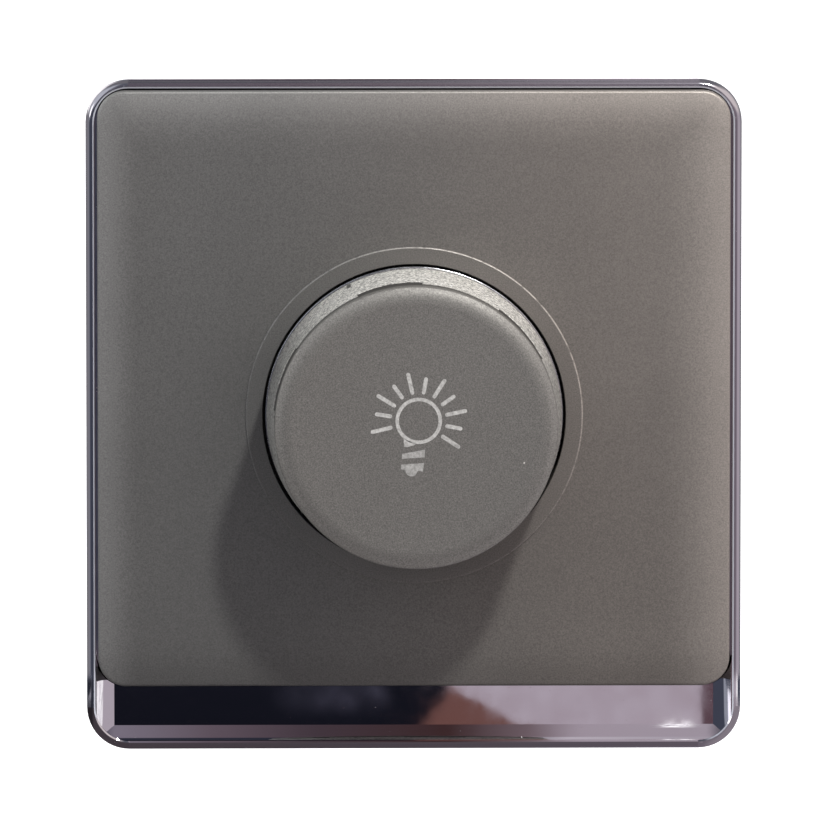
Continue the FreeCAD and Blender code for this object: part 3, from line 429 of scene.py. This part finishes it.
def fascia_painted_light(tree, place):
    """Painted light on the fascia: sheen at its rims, a broken highlight on its ring line, brighter and
    warmer to the right.
    """
    across, _, up = split(tree, place)
    # painted sheen: the rims are lighter
    left = smooth_step(tree, across, LEFT_RIM_X, LEFT_RIM_LIFTS)
    right = smooth_step(tree, across, RIGHT_RIM_X, RIGHT_RIM_LIFTS)
    top = smooth_step(tree, up, TOP_RIM_Z, TOP_RIM_LIFTS)
    rims = maths(tree, "MAXIMUM", maths(tree, "MAXIMUM", left, right), top)

    # a painted highlight along the ring line, broken in places and brightest towards the lamp
    radius = distance(tree, across, up, 0.0, 0.0)
    off_line = maths(tree, "ABSOLUTE", maths(tree, "SUBTRACT", radius, RING_LINE_R))
    chips = noise(tree, place, RING_CHIP_MM, detail=3.0)
    line = smooth_step(tree, off_line, RING_LINE_HALF_W, FALL)
    line = product(tree, line, smooth_step(tree, chips, RING_CHIP_SPAN))
    toward_lamp = total(tree, up, product(tree, across, RING_LEAN))
    lit = spread(tree, toward_lamp, RING_LIT_PLACES, RING_LIT_LIFTS)
    lift = total(tree, rims, product(tree, line, lit))

    # painted light: brighter to the right and towards the top, and darker at the low edge
    slope = spread(tree, across, SLOPE_X, SLOPE_X_TONES)
    slope = product(tree, slope, smooth_step(tree, up, LOW_EDGE_Z, LOW_EDGE_TONES))
    slope = product(tree, slope, spread(tree, up, SLOPE_Z, SLOPE_Z_TONES))
    # painted light colour: cooler to the left and warmer to the right
    warmth = mixed(tree, smooth_step(tree, across, WARMTH_X), COOL_SIDE, WARM_SIDE)
    return product(tree, total(tree, lift, 1.0), slope), warmth


def flake_paint(colour, roughness, flake_mm, contrast, mottle, bump_mm, tones, metallic=0.6):
    """Satin metallic paint: flakes of differing brightness, cloudy tone and a grainy surface."""
    material, tree, shader = new_material()
    place = object_place(tree)
    flakes = noise(tree, place, flake_mm, detail=3.0, roughness=0.65)
    clouds = noise(tree, place, grain_mm=9.0, detail=4.0)
    flake_tone = spread(tree, flakes, NOISE_SPAN, (1 - contrast, 1 + contrast))
    drift = spread(tree, clouds, NOISE_SPAN, (1 - mottle, 1 + mottle))
    # the tones give painted light and shade, and on the cap and skirt one fleck and one pit
    painted, warmth = tones(tree, place)
    tint = mixed(tree, 1.0, opaque(colour), warmth, "MULTIPLY")
    set_base(tree, shader, tint, product(tree, flake_tone, drift, painted))
    gloss = spread(tree, flakes, NOISE_SPAN, (roughness + 0.05, roughness - 0.05))
    join(tree, gloss, shader.inputs["Roughness"])
    join(tree, metallic, shader.inputs["Metallic"])
    set_bump(tree, shader, flakes, bump_mm)
    return material


def bezel_places(tree, place):
    """Shares of the bezel's three painted places: painted highlight line on the bevel, painted dark
    reflection on the low left rim, satin edge.
    """
    across, depth, up = split(tree, place)
    facing = add_node(tree, "ShaderNodeNewGeometry").outputs["True Normal"]
    turned_x, _, turned_z = split(tree, facing)
    outlook = total(tree, product(tree, turned_x, across), product(tree, turned_z, up))

    # a painted highlight line on the inner bevel
    bevel_highlight = smooth_step(tree, outlook, INWARD_OUTLOOK, FALL)
    bevel_highlight = product(tree, bevel_highlight, smooth_step(tree, depth, BEVEL_Y, FALL))
    bevel_highlight = product(tree, bevel_highlight, smooth_step(tree, up, BEVEL_LOW_Z))

    # a painted dark reflection on the low left rim
    dark_rim_reflection = smooth_step(tree, across, DARK_RIM_X, FALL)
    dark_rim_reflection = product(tree, dark_rim_reflection, smooth_step(tree, up, DARK_RIM_Z, FALL), DARK_RIM_SHARE)

    high_or_low = smooth_step(tree, maths(tree, "ABSOLUTE", up), SATIN_Z)
    satin = product(tree, smooth_step(tree, outlook, OUTWARD_OUTLOOK), high_or_low)
    return bevel_highlight, dark_rim_reflection, satin


def mirror_plate(colour, roughness, wave_mm, dust, painted_places=None):
    """Dark, glossy plating: a mirror with slight waves, fine scuffs and dust."""
    material, tree, shader = new_material()
    place = object_place(tree)
    waves = noise(tree, place, grain_mm=2.2, detail=1.0)
    scuffs = noise(tree, place, grain_mm=0.9, detail=5.0, roughness=0.7)
    specks = noise(tree, place, grain_mm=0.22, detail=1.0)
    speck = smooth_step(tree, specks, (0.80, 0.84))
    base = mixed(tree, product(tree, speck, dust), opaque(colour), DUST_COLOUR)
    polished = spread(tree, scuffs, (0.35, 0.75), (roughness, roughness * 2.2))
    dull = total(tree, polished, product(tree, speck, 0.3))
    metallic = 1.0
    if painted_places:
        # a painted dark reflection on the low left rim and a painted highlight line on the bevel
        bevel_highlight, dark_rim_reflection, satin = painted_places(tree, place)
        base = mixed(tree, dark_rim_reflection, base, DARK_RIM_REFLECTION_COLOUR)
        base = mixed(tree, bevel_highlight, base, BEVEL_HIGHLIGHT_COLOUR)
        dull = total(tree, dull, product(tree, satin, SATIN_DULLNESS))
        dull = total(tree, dull, product(tree, bevel_highlight, BEVEL_DULLNESS))
        metallic = maths(tree, "SUBTRACT", 1.0, bevel_highlight)
    join(tree, metallic, shader.inputs["Metallic"])
    join(tree, base, shader.inputs["Base Color"])
    join(tree, dull, shader.inputs["Roughness"])
    set_bump(tree, shader, waves, wave_mm)
    return material


def moulded(colour, roughness, grain_mm, grain_depth_mm, coat=0.0):
    """Moulded plastic, lacquer or board: cloudy tone, a grained surface and uneven gloss."""
    material, tree, shader = new_material()
    place = object_place(tree)
    clouds = noise(tree, place, grain_mm=6.0, detail=4.0)
    grain = noise(tree, place, grain_mm, detail=3.0, roughness=0.6)
    drift = spread(tree, clouds, NOISE_SPAN, (0.88, 1.12))
    grain_tone = spread(tree, grain, NOISE_SPAN, (0.94, 1.06))
    set_base(tree, shader, opaque(colour), product(tree, drift, grain_tone))
    gloss = spread(tree, clouds, NOISE_SPAN, (roughness - 0.06, roughness + 0.08))
    join(tree, gloss, shader.inputs["Roughness"])
    join(tree, coat, shader.inputs["Coat Weight"])
    set_bump(tree, shader, grain, grain_depth_mm)
    return material


def lacquered(colour, coat):
    """The smooth, clear-coated body of a small component."""
    return moulded(colour, 0.35, grain_mm=0.3, grain_depth_mm=0.006, coat=coat)


def brushed(colour, roughness, stretch):
    """Bare or plated metal: fine lines along one axis, uneven gloss and a little tarnish."""
    material, tree, shader = new_material()
    place = object_place(tree)
    drawn = add_node(tree, "ShaderNodeMapping", {"Vector": place, "Scale": stretch}).outputs[0]
    line = noise(tree, drawn, grain_mm=0.12, detail=3.0, roughness=0.6)
    stain = noise(tree, place, grain_mm=3.0, detail=5.0, roughness=0.6)
    tarnish = smooth_step(tree, stain, (0.52, 0.75), (0.0, 0.55))
    dark = opaque(0.55 * c for c in colour)
    join(tree, mixed(tree, tarnish, opaque(colour), dark), shader.inputs["Base Color"])
    gloss = spread(tree, stain, (0.3, 0.75), (roughness, roughness + 0.16))
    join(tree, gloss, shader.inputs["Roughness"])
    join(tree, 1.0, shader.inputs["Metallic"])
    set_bump(tree, shader, line, depth_mm=0.01)
    return material


def clear_glass():
    material, tree, shader = new_material()
    smear = noise(tree, object_place(tree), grain_mm=1.5, detail=3.0)
    join(tree, (0.9, 0.93, 0.92, 1.0), shader.inputs["Base Color"])
    join(tree, spread(tree, smear, NOISE_SPAN, (0.02, 0.12)), shader.inputs["Roughness"])
    join(tree, 0.9, shader.inputs["Transmission Weight"])
    return material


def etched():
    """The pale, grained lines of the sign, duller at the bulb's base."""
    material, tree, shader = new_material()
    place = object_place(tree)
    grain = noise(tree, place, grain_mm=0.16, detail=3.0, roughness=0.7)
    tone = ramp(tree, grain, RISE, [(0.3, (0.26, 0.255, 0.235)), (0.7, (0.52, 0.51, 0.48))])
    _, _, up = split(tree, place)
    duller = smooth_step(tree, up, (-0.0024, -0.0018), (0.78, 1.0))
    join(tree, mixed(tree, 1.0, tone, duller, "MULTIPLY"), shader.inputs["Base Color"])
    join(tree, spread(tree, grain, NOISE_SPAN, (0.5, 0.7)), shader.inputs["Roughness"])
    join(tree, 0.35, shader.inputs["Metallic"])
    set_bump(tree, shader, grain, depth_mm=0.01)
    return material


def build_materials():
    """The finished materials by name: one for each slot of the frame, and one for the sign."""
    finished = {
        "fascia_paint": flake_paint(
            (0.117, 0.113, 0.103), roughness=0.5, flake_mm=0.09, contrast=0.27, mottle=0.05,
            bump_mm=0.008, tones=fascia_painted_light,
        ),
        "knob_paint": flake_paint(
            (0.149, 0.143, 0.130), roughness=0.55, flake_mm=0.09, contrast=0.36, mottle=0.03,
            bump_mm=0.01, tones=cap_painted_light_and_fleck,
        ),
        "skirt_metal": flake_paint(
            (0.52, 0.51, 0.47), roughness=0.55, flake_mm=0.20, contrast=0.9, mottle=0.04,
            bump_mm=0.13, tones=skirt_painted_light_and_pit, metallic=0.55,
        ),
        "foot_gloss": mirror_plate((0.36, 0.36, 0.37), roughness=0.16, wave_mm=0.002, dust=0.2),
        "bezel_chrome": mirror_plate(
            (0.375, 0.36, 0.38), roughness=0.009, wave_mm=0.0005, dust=0.5,
            painted_places=bezel_places,
        ),
        "frame_plastic": moulded((0.030, 0.030, 0.032), 0.42, grain_mm=0.12, grain_depth_mm=0.012),
        "housing_plastic": moulded((0.035, 0.035, 0.038), 0.5, grain_mm=0.14, grain_depth_mm=0.03),
        "steel": brushed((0.56, 0.56, 0.58), 0.26, stretch=(1.0, 8.0, 1.0)),
        "brass": brushed((0.72, 0.52, 0.24), 0.25, stretch=(8.0, 1.0, 1.0)),
        "aluminium": brushed((0.75, 0.75, 0.76), 0.3, stretch=(1.0, 1.0, 8.0)),
        "copper": brushed((0.70, 0.33, 0.16), 0.2, stretch=(1.0, 1.0, 1.0)),
        "ferrite": moulded((0.10, 0.10, 0.11), 0.6, grain_mm=0.2, grain_depth_mm=0.03),
        "board": moulded((0.05, 0.17, 0.07), 0.3, grain_mm=0.5, grain_depth_mm=0.008, coat=0.5),
        "phenolic": moulded((0.30, 0.16, 0.07), 0.55, grain_mm=0.2, grain_depth_mm=0.01),
        "package": moulded((0.022, 0.022, 0.024), 0.5, grain_mm=0.1, grain_depth_mm=0.015),
        "film_box": lacquered((0.60, 0.45, 0.06), coat=0.2),
        "blue_box": lacquered((0.05, 0.12, 0.38), coat=0.2),
        "tan_body": lacquered((0.58, 0.43, 0.26), coat=0.3),
        "terminal_plastic": moulded((0.07, 0.24, 0.11), 0.4, grain_mm=0.2, grain_depth_mm=0.01),
        "glass": clear_glass(),
        "sign_lines": etched(),
    }
    for name, material in finished.items():
        material.name = name
    return finished


def dress_nodes(materials):
    """Gives every node of the frame the finished material of its slot."""
    for part in frame["record"]["subparts"]:
        for holder in nodes[part["node"]].material_slots:
            holder.material = materials[part["material_slot"]]


def polar(radius, degrees):
    angle = math.radians(degrees)
    return Vector((radius * math.cos(angle), radius * math.sin(angle)))


def arc_points(centre, radius, first, last, steps):
    return [centre + polar(radius, first + (last - first) * i / steps) for i in range(steps + 1)]


def capsule(start, end, width):
    """The outline of a line with round ends."""
    along = (end - start).normalized()
    turn = math.degrees(math.atan2(along.y, along.x))
    half = width / 2
    outline = arc_points(end, half, turn - 90, turn + 90, RAY_END_STEPS)
    return outline + arc_points(start, half, turn + 90, turn + 270, RAY_END_STEPS)


def ray_outlines():
    """The sign's rays, fanned out evenly round the upright, long and short by turns."""
    outlines = []
    for i in range(RAY_COUNT):
        angle = 90 + (i - (RAY_COUNT - 1) / 2) * RAY_STEP
        end = RAY_LONG_END if i % 2 == 0 else RAY_SHORT_END
        outlines.append(capsule(polar(RAY_START, angle), polar(end, angle), RAY_W))
    return outlines


def bulb_base_outlines():
    """The worn neck and the two bands of the bulb's base, upright in the sign's own place."""
    neck = [(-1.95, -2.3), (-1.9, -3.4), (-1.45, -3.42), (-0.4, -3.1), (-0.6, -2.95), (-1.3, -2.6)]
    upper = [(-2.15, -4.3), (-2.2, -4.95), (0.75, -4.75), (0.8, -3.75)]
    lower = [(-2.3, -5.7), (-2.3, -6.3), (-1.75, -6.4)]
    lower += arc_points(Vector(BULB_CAP_AT), BULB_CAP_R, 180, 350, 10)
    lower += [(0.15, -6.5), (0.5, -6.68), (0.7, -5.5)]
    return [[Vector(point) for point in outline] for outline in (neck, upper, lower)]


def row_of(mesh, points, depth):
    """Corners at the given points, in millimetres, at the given depth in metres."""
    return [mesh.verts.new((p.x * MM, depth, p.y * MM)) for p in points]


def add_plates(mesh, outlines, thickness):
    """Thin flat plates with the given closed outlines, from the plane y = 0 towards -y."""
    for outline in outlines:
        face = mesh.faces.new(row_of(mesh, outline, 0.0))
        grown = bmesh.ops.extrude_face_region(mesh, geom=[face])
        moved = [v for v in grown["geom"] if isinstance(v, bmesh.types.BMVert)]
        bmesh.ops.translate(mesh, verts=moved, vec=(0.0, -thickness, 0.0))
    bmesh.ops.recalc_face_normals(mesh, faces=mesh.faces)


def add_ring(mesh, radius, width, thickness):
    """A flat ring round the origin, from the plane y = 0 towards -y."""
    rows = []
    for rim in (radius + width / 2, radius - width / 2):
        points = [polar(rim, 360 * i / RING_STEPS) for i in range(RING_STEPS)]
        rows += [row_of(mesh, points, depth) for depth in (0.0, -thickness)]
    outer_rear, outer_front, inner_rear, inner_front = rows
    for i in range(RING_STEPS):
        j = (i + 1) % RING_STEPS
        for a, b in (
            (outer_front, inner_front), (inner_rear, outer_rear),
            (outer_rear, outer_front), (inner_front, inner_rear),
        ):
            mesh.faces.new((a[i], a[j], b[j], b[i]))
    bmesh.ops.recalc_face_normals(mesh, faces=mesh.faces)


def tilt(mesh, degrees):
    """Turns all corners of a mesh about the y axis."""
    sine, cosine = math.sin(math.radians(degrees)), math.cos(math.radians(degrees))
    for vert in mesh.verts:
        x, z = vert.co.x, vert.co.z
        vert.co.x = x * cosine - z * sine
        vert.co.z = x * sine + z * cosine


def new_object(name, mesh, material):
    data = bpy.data.meshes.new(name)
    mesh.to_mesh(data)
    mesh.free()
    piece = bpy.data.objects.new(name, data)
    bpy.context.scene.collection.objects.link(piece)
    data.materials.append(material)
    return piece


def build_sign(material):
    """The generic bulb sign on the cap, as thin raised lines."""
    cap_low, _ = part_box("knob_cap")
    rise = SIGN_RISE * MM
    mesh = bmesh.new()
    add_plates(mesh, ray_outlines(), rise)
    add_ring(mesh, SIGN_RING_R, SIGN_LINE_W, rise)
    tilt(mesh, SIGN_TILT)
    add_plates(mesh, bulb_base_outlines(), rise)
    place = (SIGN_FROM_AXIS[0] * MM, cap_low.y + rise / 2, SIGN_FROM_AXIS[1] * MM)
    bmesh.ops.translate(mesh, verts=mesh.verts, vec=place)
    sign = new_object("bulb_sign", mesh, material)
    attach(sign, "knob")


def combined(tree, x, z):
    return add_node(tree, "ShaderNodeCombineXYZ", {0: x, 2: z}).outputs[0]


def beside_view(tree, azimuth, elevation):
    """Beside the strip's view, at its heights: a pale stretch, small glints and a bright crescent."""
    beside = ramp(tree, azimuth, ROUND, [(-1.5, BLUE), (3.4, PALE), (75, PALE), (80, BLUE)])
    scale_round, scale_up = STREAK_SCALES
    stretched = combined(tree, product(tree, azimuth, scale_round), product(tree, elevation, scale_up))
    streaks = plain_noise(tree, stretched, scale=1.0, detail=2.0, distortion=0.8)
    glint = between(tree, azimuth, *GLINT_ROUND)
    glint = product(tree, glint, smooth_step(tree, elevation, GLINT_FOOT))
    glint = product(tree, glint, smooth_step(tree, streaks, GLINT_STREAKS))
    beside = mixed(tree, glint, beside, grey(GLINT_LEVEL))

    slant = spread(tree, elevation, CRESCENT_SLANT_UP, CRESCENT_SLANT_ROUND)
    past_slant = maths(tree, "SUBTRACT", azimuth, slant)
    crescent = smooth_step(tree, azimuth, CRESCENT_END, FALL)
    crescent = product(tree, crescent, smooth_step(tree, past_slant, CRESCENT_START))
    crescent = product(tree, crescent, smooth_step(tree, elevation, CRESCENT_FOOT))
    bright = smooth_step(tree, azimuth, CRESCENT_BRIGHT_END, FALL)
    light = mixed(tree, bright, CRESCENT_DIM_COLOUR, CRESCENT_BRIGHT_COLOUR)
    return mixed(tree, crescent, beside, light)


def eye_level(tree, azimuth):
    """All round at eye level: dark ahead and to the left, rose and then pale to the right."""
    return ramp(tree, azimuth, ROUND, [
        (-150, WALL), (-96, WALL), (-84, COOL), (-66, COOL), (-48, BLUE), (-14, BLUE), (-4, PLUM),
        (8, ROSE), (40, ROSE), (52, PALE), (88, PALE), (120, WALL),
    ])


def above_eye_level(tree, azimuth, elevation):
    """Above eye level: the walls at the sides, and straight ahead and overhead a dim ceiling."""
    ceiling = ramp(tree, elevation, UPWARD, [
        (7.2, DUSK), (45, (0.13, 0.14, 0.18)), (76.5, (0.26, 0.26, 0.28)), (90, (0.24, 0.24, 0.25)),
    ])
    walls = ramp(tree, azimuth, ROUND, [
        (-165, WALL), (-155, WINDOW), (-105, WINDOW), (-95, WALL), (-80, SKY), (-24, SKY), (-9, DUSK),
        (9, DUSK), (24, LAMPLIGHT), (80, LAMPLIGHT), (130, WALL),
    ])
    side = smooth_step(tree, maths(tree, "ABSOLUTE", azimuth), SIDES_START)
    side = product(tree, side, smooth_step(tree, elevation, CEILING_START, FALL))
    return mixed(tree, side, ceiling, walls)


def underneath(tree, x):
    """What lies below the part, paler to the right."""
    middle = smooth_step(tree, x, UNDER_MIDDLE_X)
    under = mixed(tree, middle, UNDER_LEFT_COLOUR, UNDER_MIDDLE_COLOUR)
    return mixed(tree, smooth_step(tree, x, UNDER_RIGHT_X), under, UNDER_RIGHT_COLOUR)


def column_ahead(tree, sideways, elevation):
    """The narrow column straight ahead that the strip's lower round mirrors."""
    column = ramp(tree, sideways, AHEAD, [
        (-0.55, (0.05, 0.055, 0.08)), (-0.49, (0.31, 0.28, 0.34)), (0.0, (0.18, 0.14, 0.17)),
        (0.5, (0.09, 0.065, 0.08)), (1.2, (0.07, 0.035, 0.035)), (1.6, (0.24, 0.18, 0.20)),
        (1.85, (0.55, 0.48, 0.54)), (2.5, (0.56, 0.50, 0.56)), (2.58, (0.05, 0.055, 0.08)),
    ])
    brow = ramp(tree, sideways, AHEAD, [
        (0.9, (0.035, 0.04, 0.06)), (1.5, (0.20, 0.18, 0.21)), (1.8, (0.75, 0.70, 0.76)),
        (2.6, (0.55, 0.50, 0.56)),
    ])
    return mixed(tree, smooth_step(tree, elevation, BROW_START), column, brow)


def view_ahead(tree, way, azimuth, elevation):
    """What the strip's flat floor mirrors: a dark shape, a warm flank, then a pale wall."""
    ripple = plain_noise(tree, way, scale=RIPPLE_SCALE, detail=3.0)
    loose = total(tree, azimuth, spread(tree, ripple, NOISE_SPAN, RIPPLE_SHIFTS))
    pale_side = total(tree, loose, product(tree, elevation, PALE_SLANT))
    warm_side = total(tree, loose, product(tree, elevation, WARM_SLANT))
    haze = between(tree, azimuth, *HAZE_ROUND)
    haze = product(tree, haze, smooth_step(tree, elevation, HAZE_FOOT))
    haze = product(tree, haze, spread(tree, ripple, INNER_NOISE_SPAN, HAZE_SHARES))
    view = mixed(tree, haze, NIGHT_COLOUR, HAZE_COLOUR)
    view = mixed(tree, smooth_step(tree, warm_side, WARM_START), view, WARM_COLOUR)
    pale = mixed(tree, spread(tree, ripple, INNER_NOISE_SPAN, RISE), PALE_DARKER, PALE_LIGHTER)
    view = mixed(tree, smooth_step(tree, pale_side, PALE_START), view, pale)
    return mixed(tree, smooth_step(tree, azimuth, MAROON_START), view, MAROON_COLOUR)


def crinkled_pane(tree, x, elevation):
    """The share of a narrow crinkled highlight, on the strip's flat floor and on its lower round."""
    squeezed = combined(
        tree, product(tree, x, PANE_SQUEEZE), spread(tree, elevation, PANE_UP, PANE_CRINKLES),
    )
    crinkle = plain_noise(tree, squeezed, scale=1.0, detail=2.0, distortion=0.6)
    pane = product(tree, between(tree, x, *PANE_X), smooth_step(tree, crinkle, CRINKLE_EDGE))
    ragged = total(tree, elevation, spread(tree, crinkle, CRINKLE_SPAN, CRINKLE_SHIFTS))
    on_flat = smooth_step(tree, elevation, PANE_FLAT_FOOT)
    on_flat = product(tree, on_flat, smooth_step(tree, ragged, PANE_FLAT_HEAD, FALL))
    on_round = between(tree, elevation, *PANE_ROUND_UP)
    return product(tree, pane, maths(tree, "MAXIMUM", on_flat, on_round))


def build_world():
    """A made-up room for the part to mirror, and plain white for the camera."""
    world = bpy.data.worlds.new("room")
    bpy.context.scene.world = world
    world.use_nodes = True
    tree = world.node_tree
    way = add_node(tree, "ShaderNodeTexCoord").outputs["Generated"]
    x, y, z = split(tree, way)
    around = maths(tree, "ARCTAN2", x, product(tree, y, -1.0))
    azimuth = product(tree, around, DEGREES_PER_RADIAN)
    elevation = product(tree, maths(tree, "ARCSINE", z), DEGREES_PER_RADIAN)
    sideways = product(tree, x, DEGREES_PER_RADIAN)

    above = above_eye_level(tree, azimuth, elevation)
    room = mixed(tree, smooth_step(tree, elevation, UPPER_START), eye_level(tree, azimuth), above)
    window = between(tree, azimuth, *LEFT_WINDOW_ROUND)
    window = product(tree, window, between(tree, elevation, *LEFT_WINDOW_UP))
    room = mixed(tree, window, room, grey(LEFT_WINDOW_LEVEL))
    room = mixed(tree, smooth_step(tree, elevation, UNDER_END, FALL), room, underneath(tree, x))
    patches = plain_noise(tree, way, scale=PATCH_SCALE, detail=4.0)
    patchy = spread(tree, patches, INNER_NOISE_SPAN, PATCH_SHARES)
    room = mixed(tree, patchy, room, mixed(tree, 0.5, room, grey(PATCH_LEVEL)))

    # the zones that the strip, its round and its ends mirror to the photo's camera
    beside = between(tree, elevation, *BESIDE_UP)
    room = mixed(tree, beside, room, beside_view(tree, azimuth, elevation))
    column = between(tree, sideways, *COLUMN_ROUND)
    column = product(tree, column, between(tree, elevation, *COLUMN_UP))
    room = mixed(tree, column, room, column_ahead(tree, sideways, elevation))
    straight = between(tree, azimuth, *COLUMN_ROUND)
    straight = product(tree, straight, between(tree, elevation, *VIEW_UP))
    room = mixed(tree, straight, room, view_ahead(tree, way, azimuth, elevation))
    room = mixed(tree, crinkled_pane(tree, x, elevation), room, grey(PANE_LEVEL))

    room = mixed(tree, 1.0, room, grey(ROOM_LIGHT), "MULTIPLY")
    rays = add_node(tree, "ShaderNodeLightPath")
    seen = mixed(tree, rays.outputs["Is Camera Ray"], room, grey(1.0))
    background = tree.nodes["Background"]
    join(tree, seen, background.inputs["Color"])
    join(tree, 1.0, background.inputs["Strength"])


def aim(thing, direction):
    """Turns a lamp or camera so that it looks along the direction."""
    thing.rotation_mode = "QUATERNION"
    thing.rotation_quaternion = direction.to_track_quat("-Z", "Y")


def build_lamp():
    """The one lamp, aimed at the origin."""
    data = bpy.data.lights.new("key", "AREA")
    data.shape = "DISK"
    data.size = LAMP_SIZE
    data.energy = LAMP_POWER
    lamp = bpy.data.objects.new("key", data)
    bpy.context.scene.collection.objects.link(lamp)
    lamp.location = LAMP_PLACE
    aim(lamp, -Vector(LAMP_PLACE))


def build_floor():
    """A pale floor below the part, white to the camera and clear to metal and from underneath."""
    mesh = bmesh.new()
    corners = (
        (-FLOOR_HALF_W, FLOOR_FRONT_Y), (FLOOR_HALF_W, FLOOR_FRONT_Y),
        (FLOOR_HALF_W, FLOOR_BACK_Y), (-FLOOR_HALF_W, FLOOR_BACK_Y),
    )
    mesh.faces.new([mesh.verts.new((x, y, FLOOR_Z)) for x, y in corners])
    material, tree, shader = new_material()
    material.name = "pale_floor"
    join(tree, FLOOR_COLOUR, shader.inputs["Base Color"])
    join(tree, FLOOR_ROUGHNESS, shader.inputs["Roughness"])
    rays = add_node(tree, "ShaderNodeLightPath")
    glow_colour = mixed(tree, rays.outputs["Is Camera Ray"], grey(0.0), grey(FLOOR_GLOW))
    glow = add_node(tree, "ShaderNodeEmission", {"Color": glow_colour})
    lit = add_node(tree, "ShaderNodeAddShader", {0: shader.outputs[0], 1: glow.outputs[0]})
    clear = add_node(tree, "ShaderNodeBsdfTransparent")
    from_below = add_node(tree, "ShaderNodeNewGeometry").outputs["Backfacing"]
    unseen = maths(tree, "MAXIMUM", rays.outputs["Is Glossy Ray"], from_below)
    both = add_node(tree, "ShaderNodeMixShader", {0: unseen, 1: lit.outputs[0], 2: clear.outputs[0]})
    join(tree, both.outputs[0], tree.nodes["Material Output"].inputs["Surface"])
    floor = new_object("floor", mesh, material)


def build_camera():
    data = bpy.data.cameras.new("camera")
    camera = bpy.data.objects.new("camera", data)
    bpy.context.scene.collection.objects.link(camera)
    bpy.context.scene.camera = camera
    azimuth, elevation = math.radians(CAMERA_AZIMUTH), math.radians(CAMERA_ELEVATION)
    back = Vector((
        math.sin(azimuth) * math.cos(elevation),
        -math.cos(azimuth) * math.cos(elevation),
        math.sin(elevation),
    ))
    camera.location = CAMERA_AIM + CAMERA_DISTANCE * back
    aim(camera, -back)
    data.sensor_width = SENSOR_MM
    data.lens = SENSOR_MM * PX_PER_M * CAMERA_DISTANCE / PICTURE_PX
    data.clip_start = CLIP_START
    data.clip_end = CLIP_END


materials = build_materials()
dress_nodes(materials)
build_sign(materials["sign_lines"])
build_world()
build_lamp()
build_floor()
build_camera()
bpy.context.scene.view_settings.view_transform = "Standard"
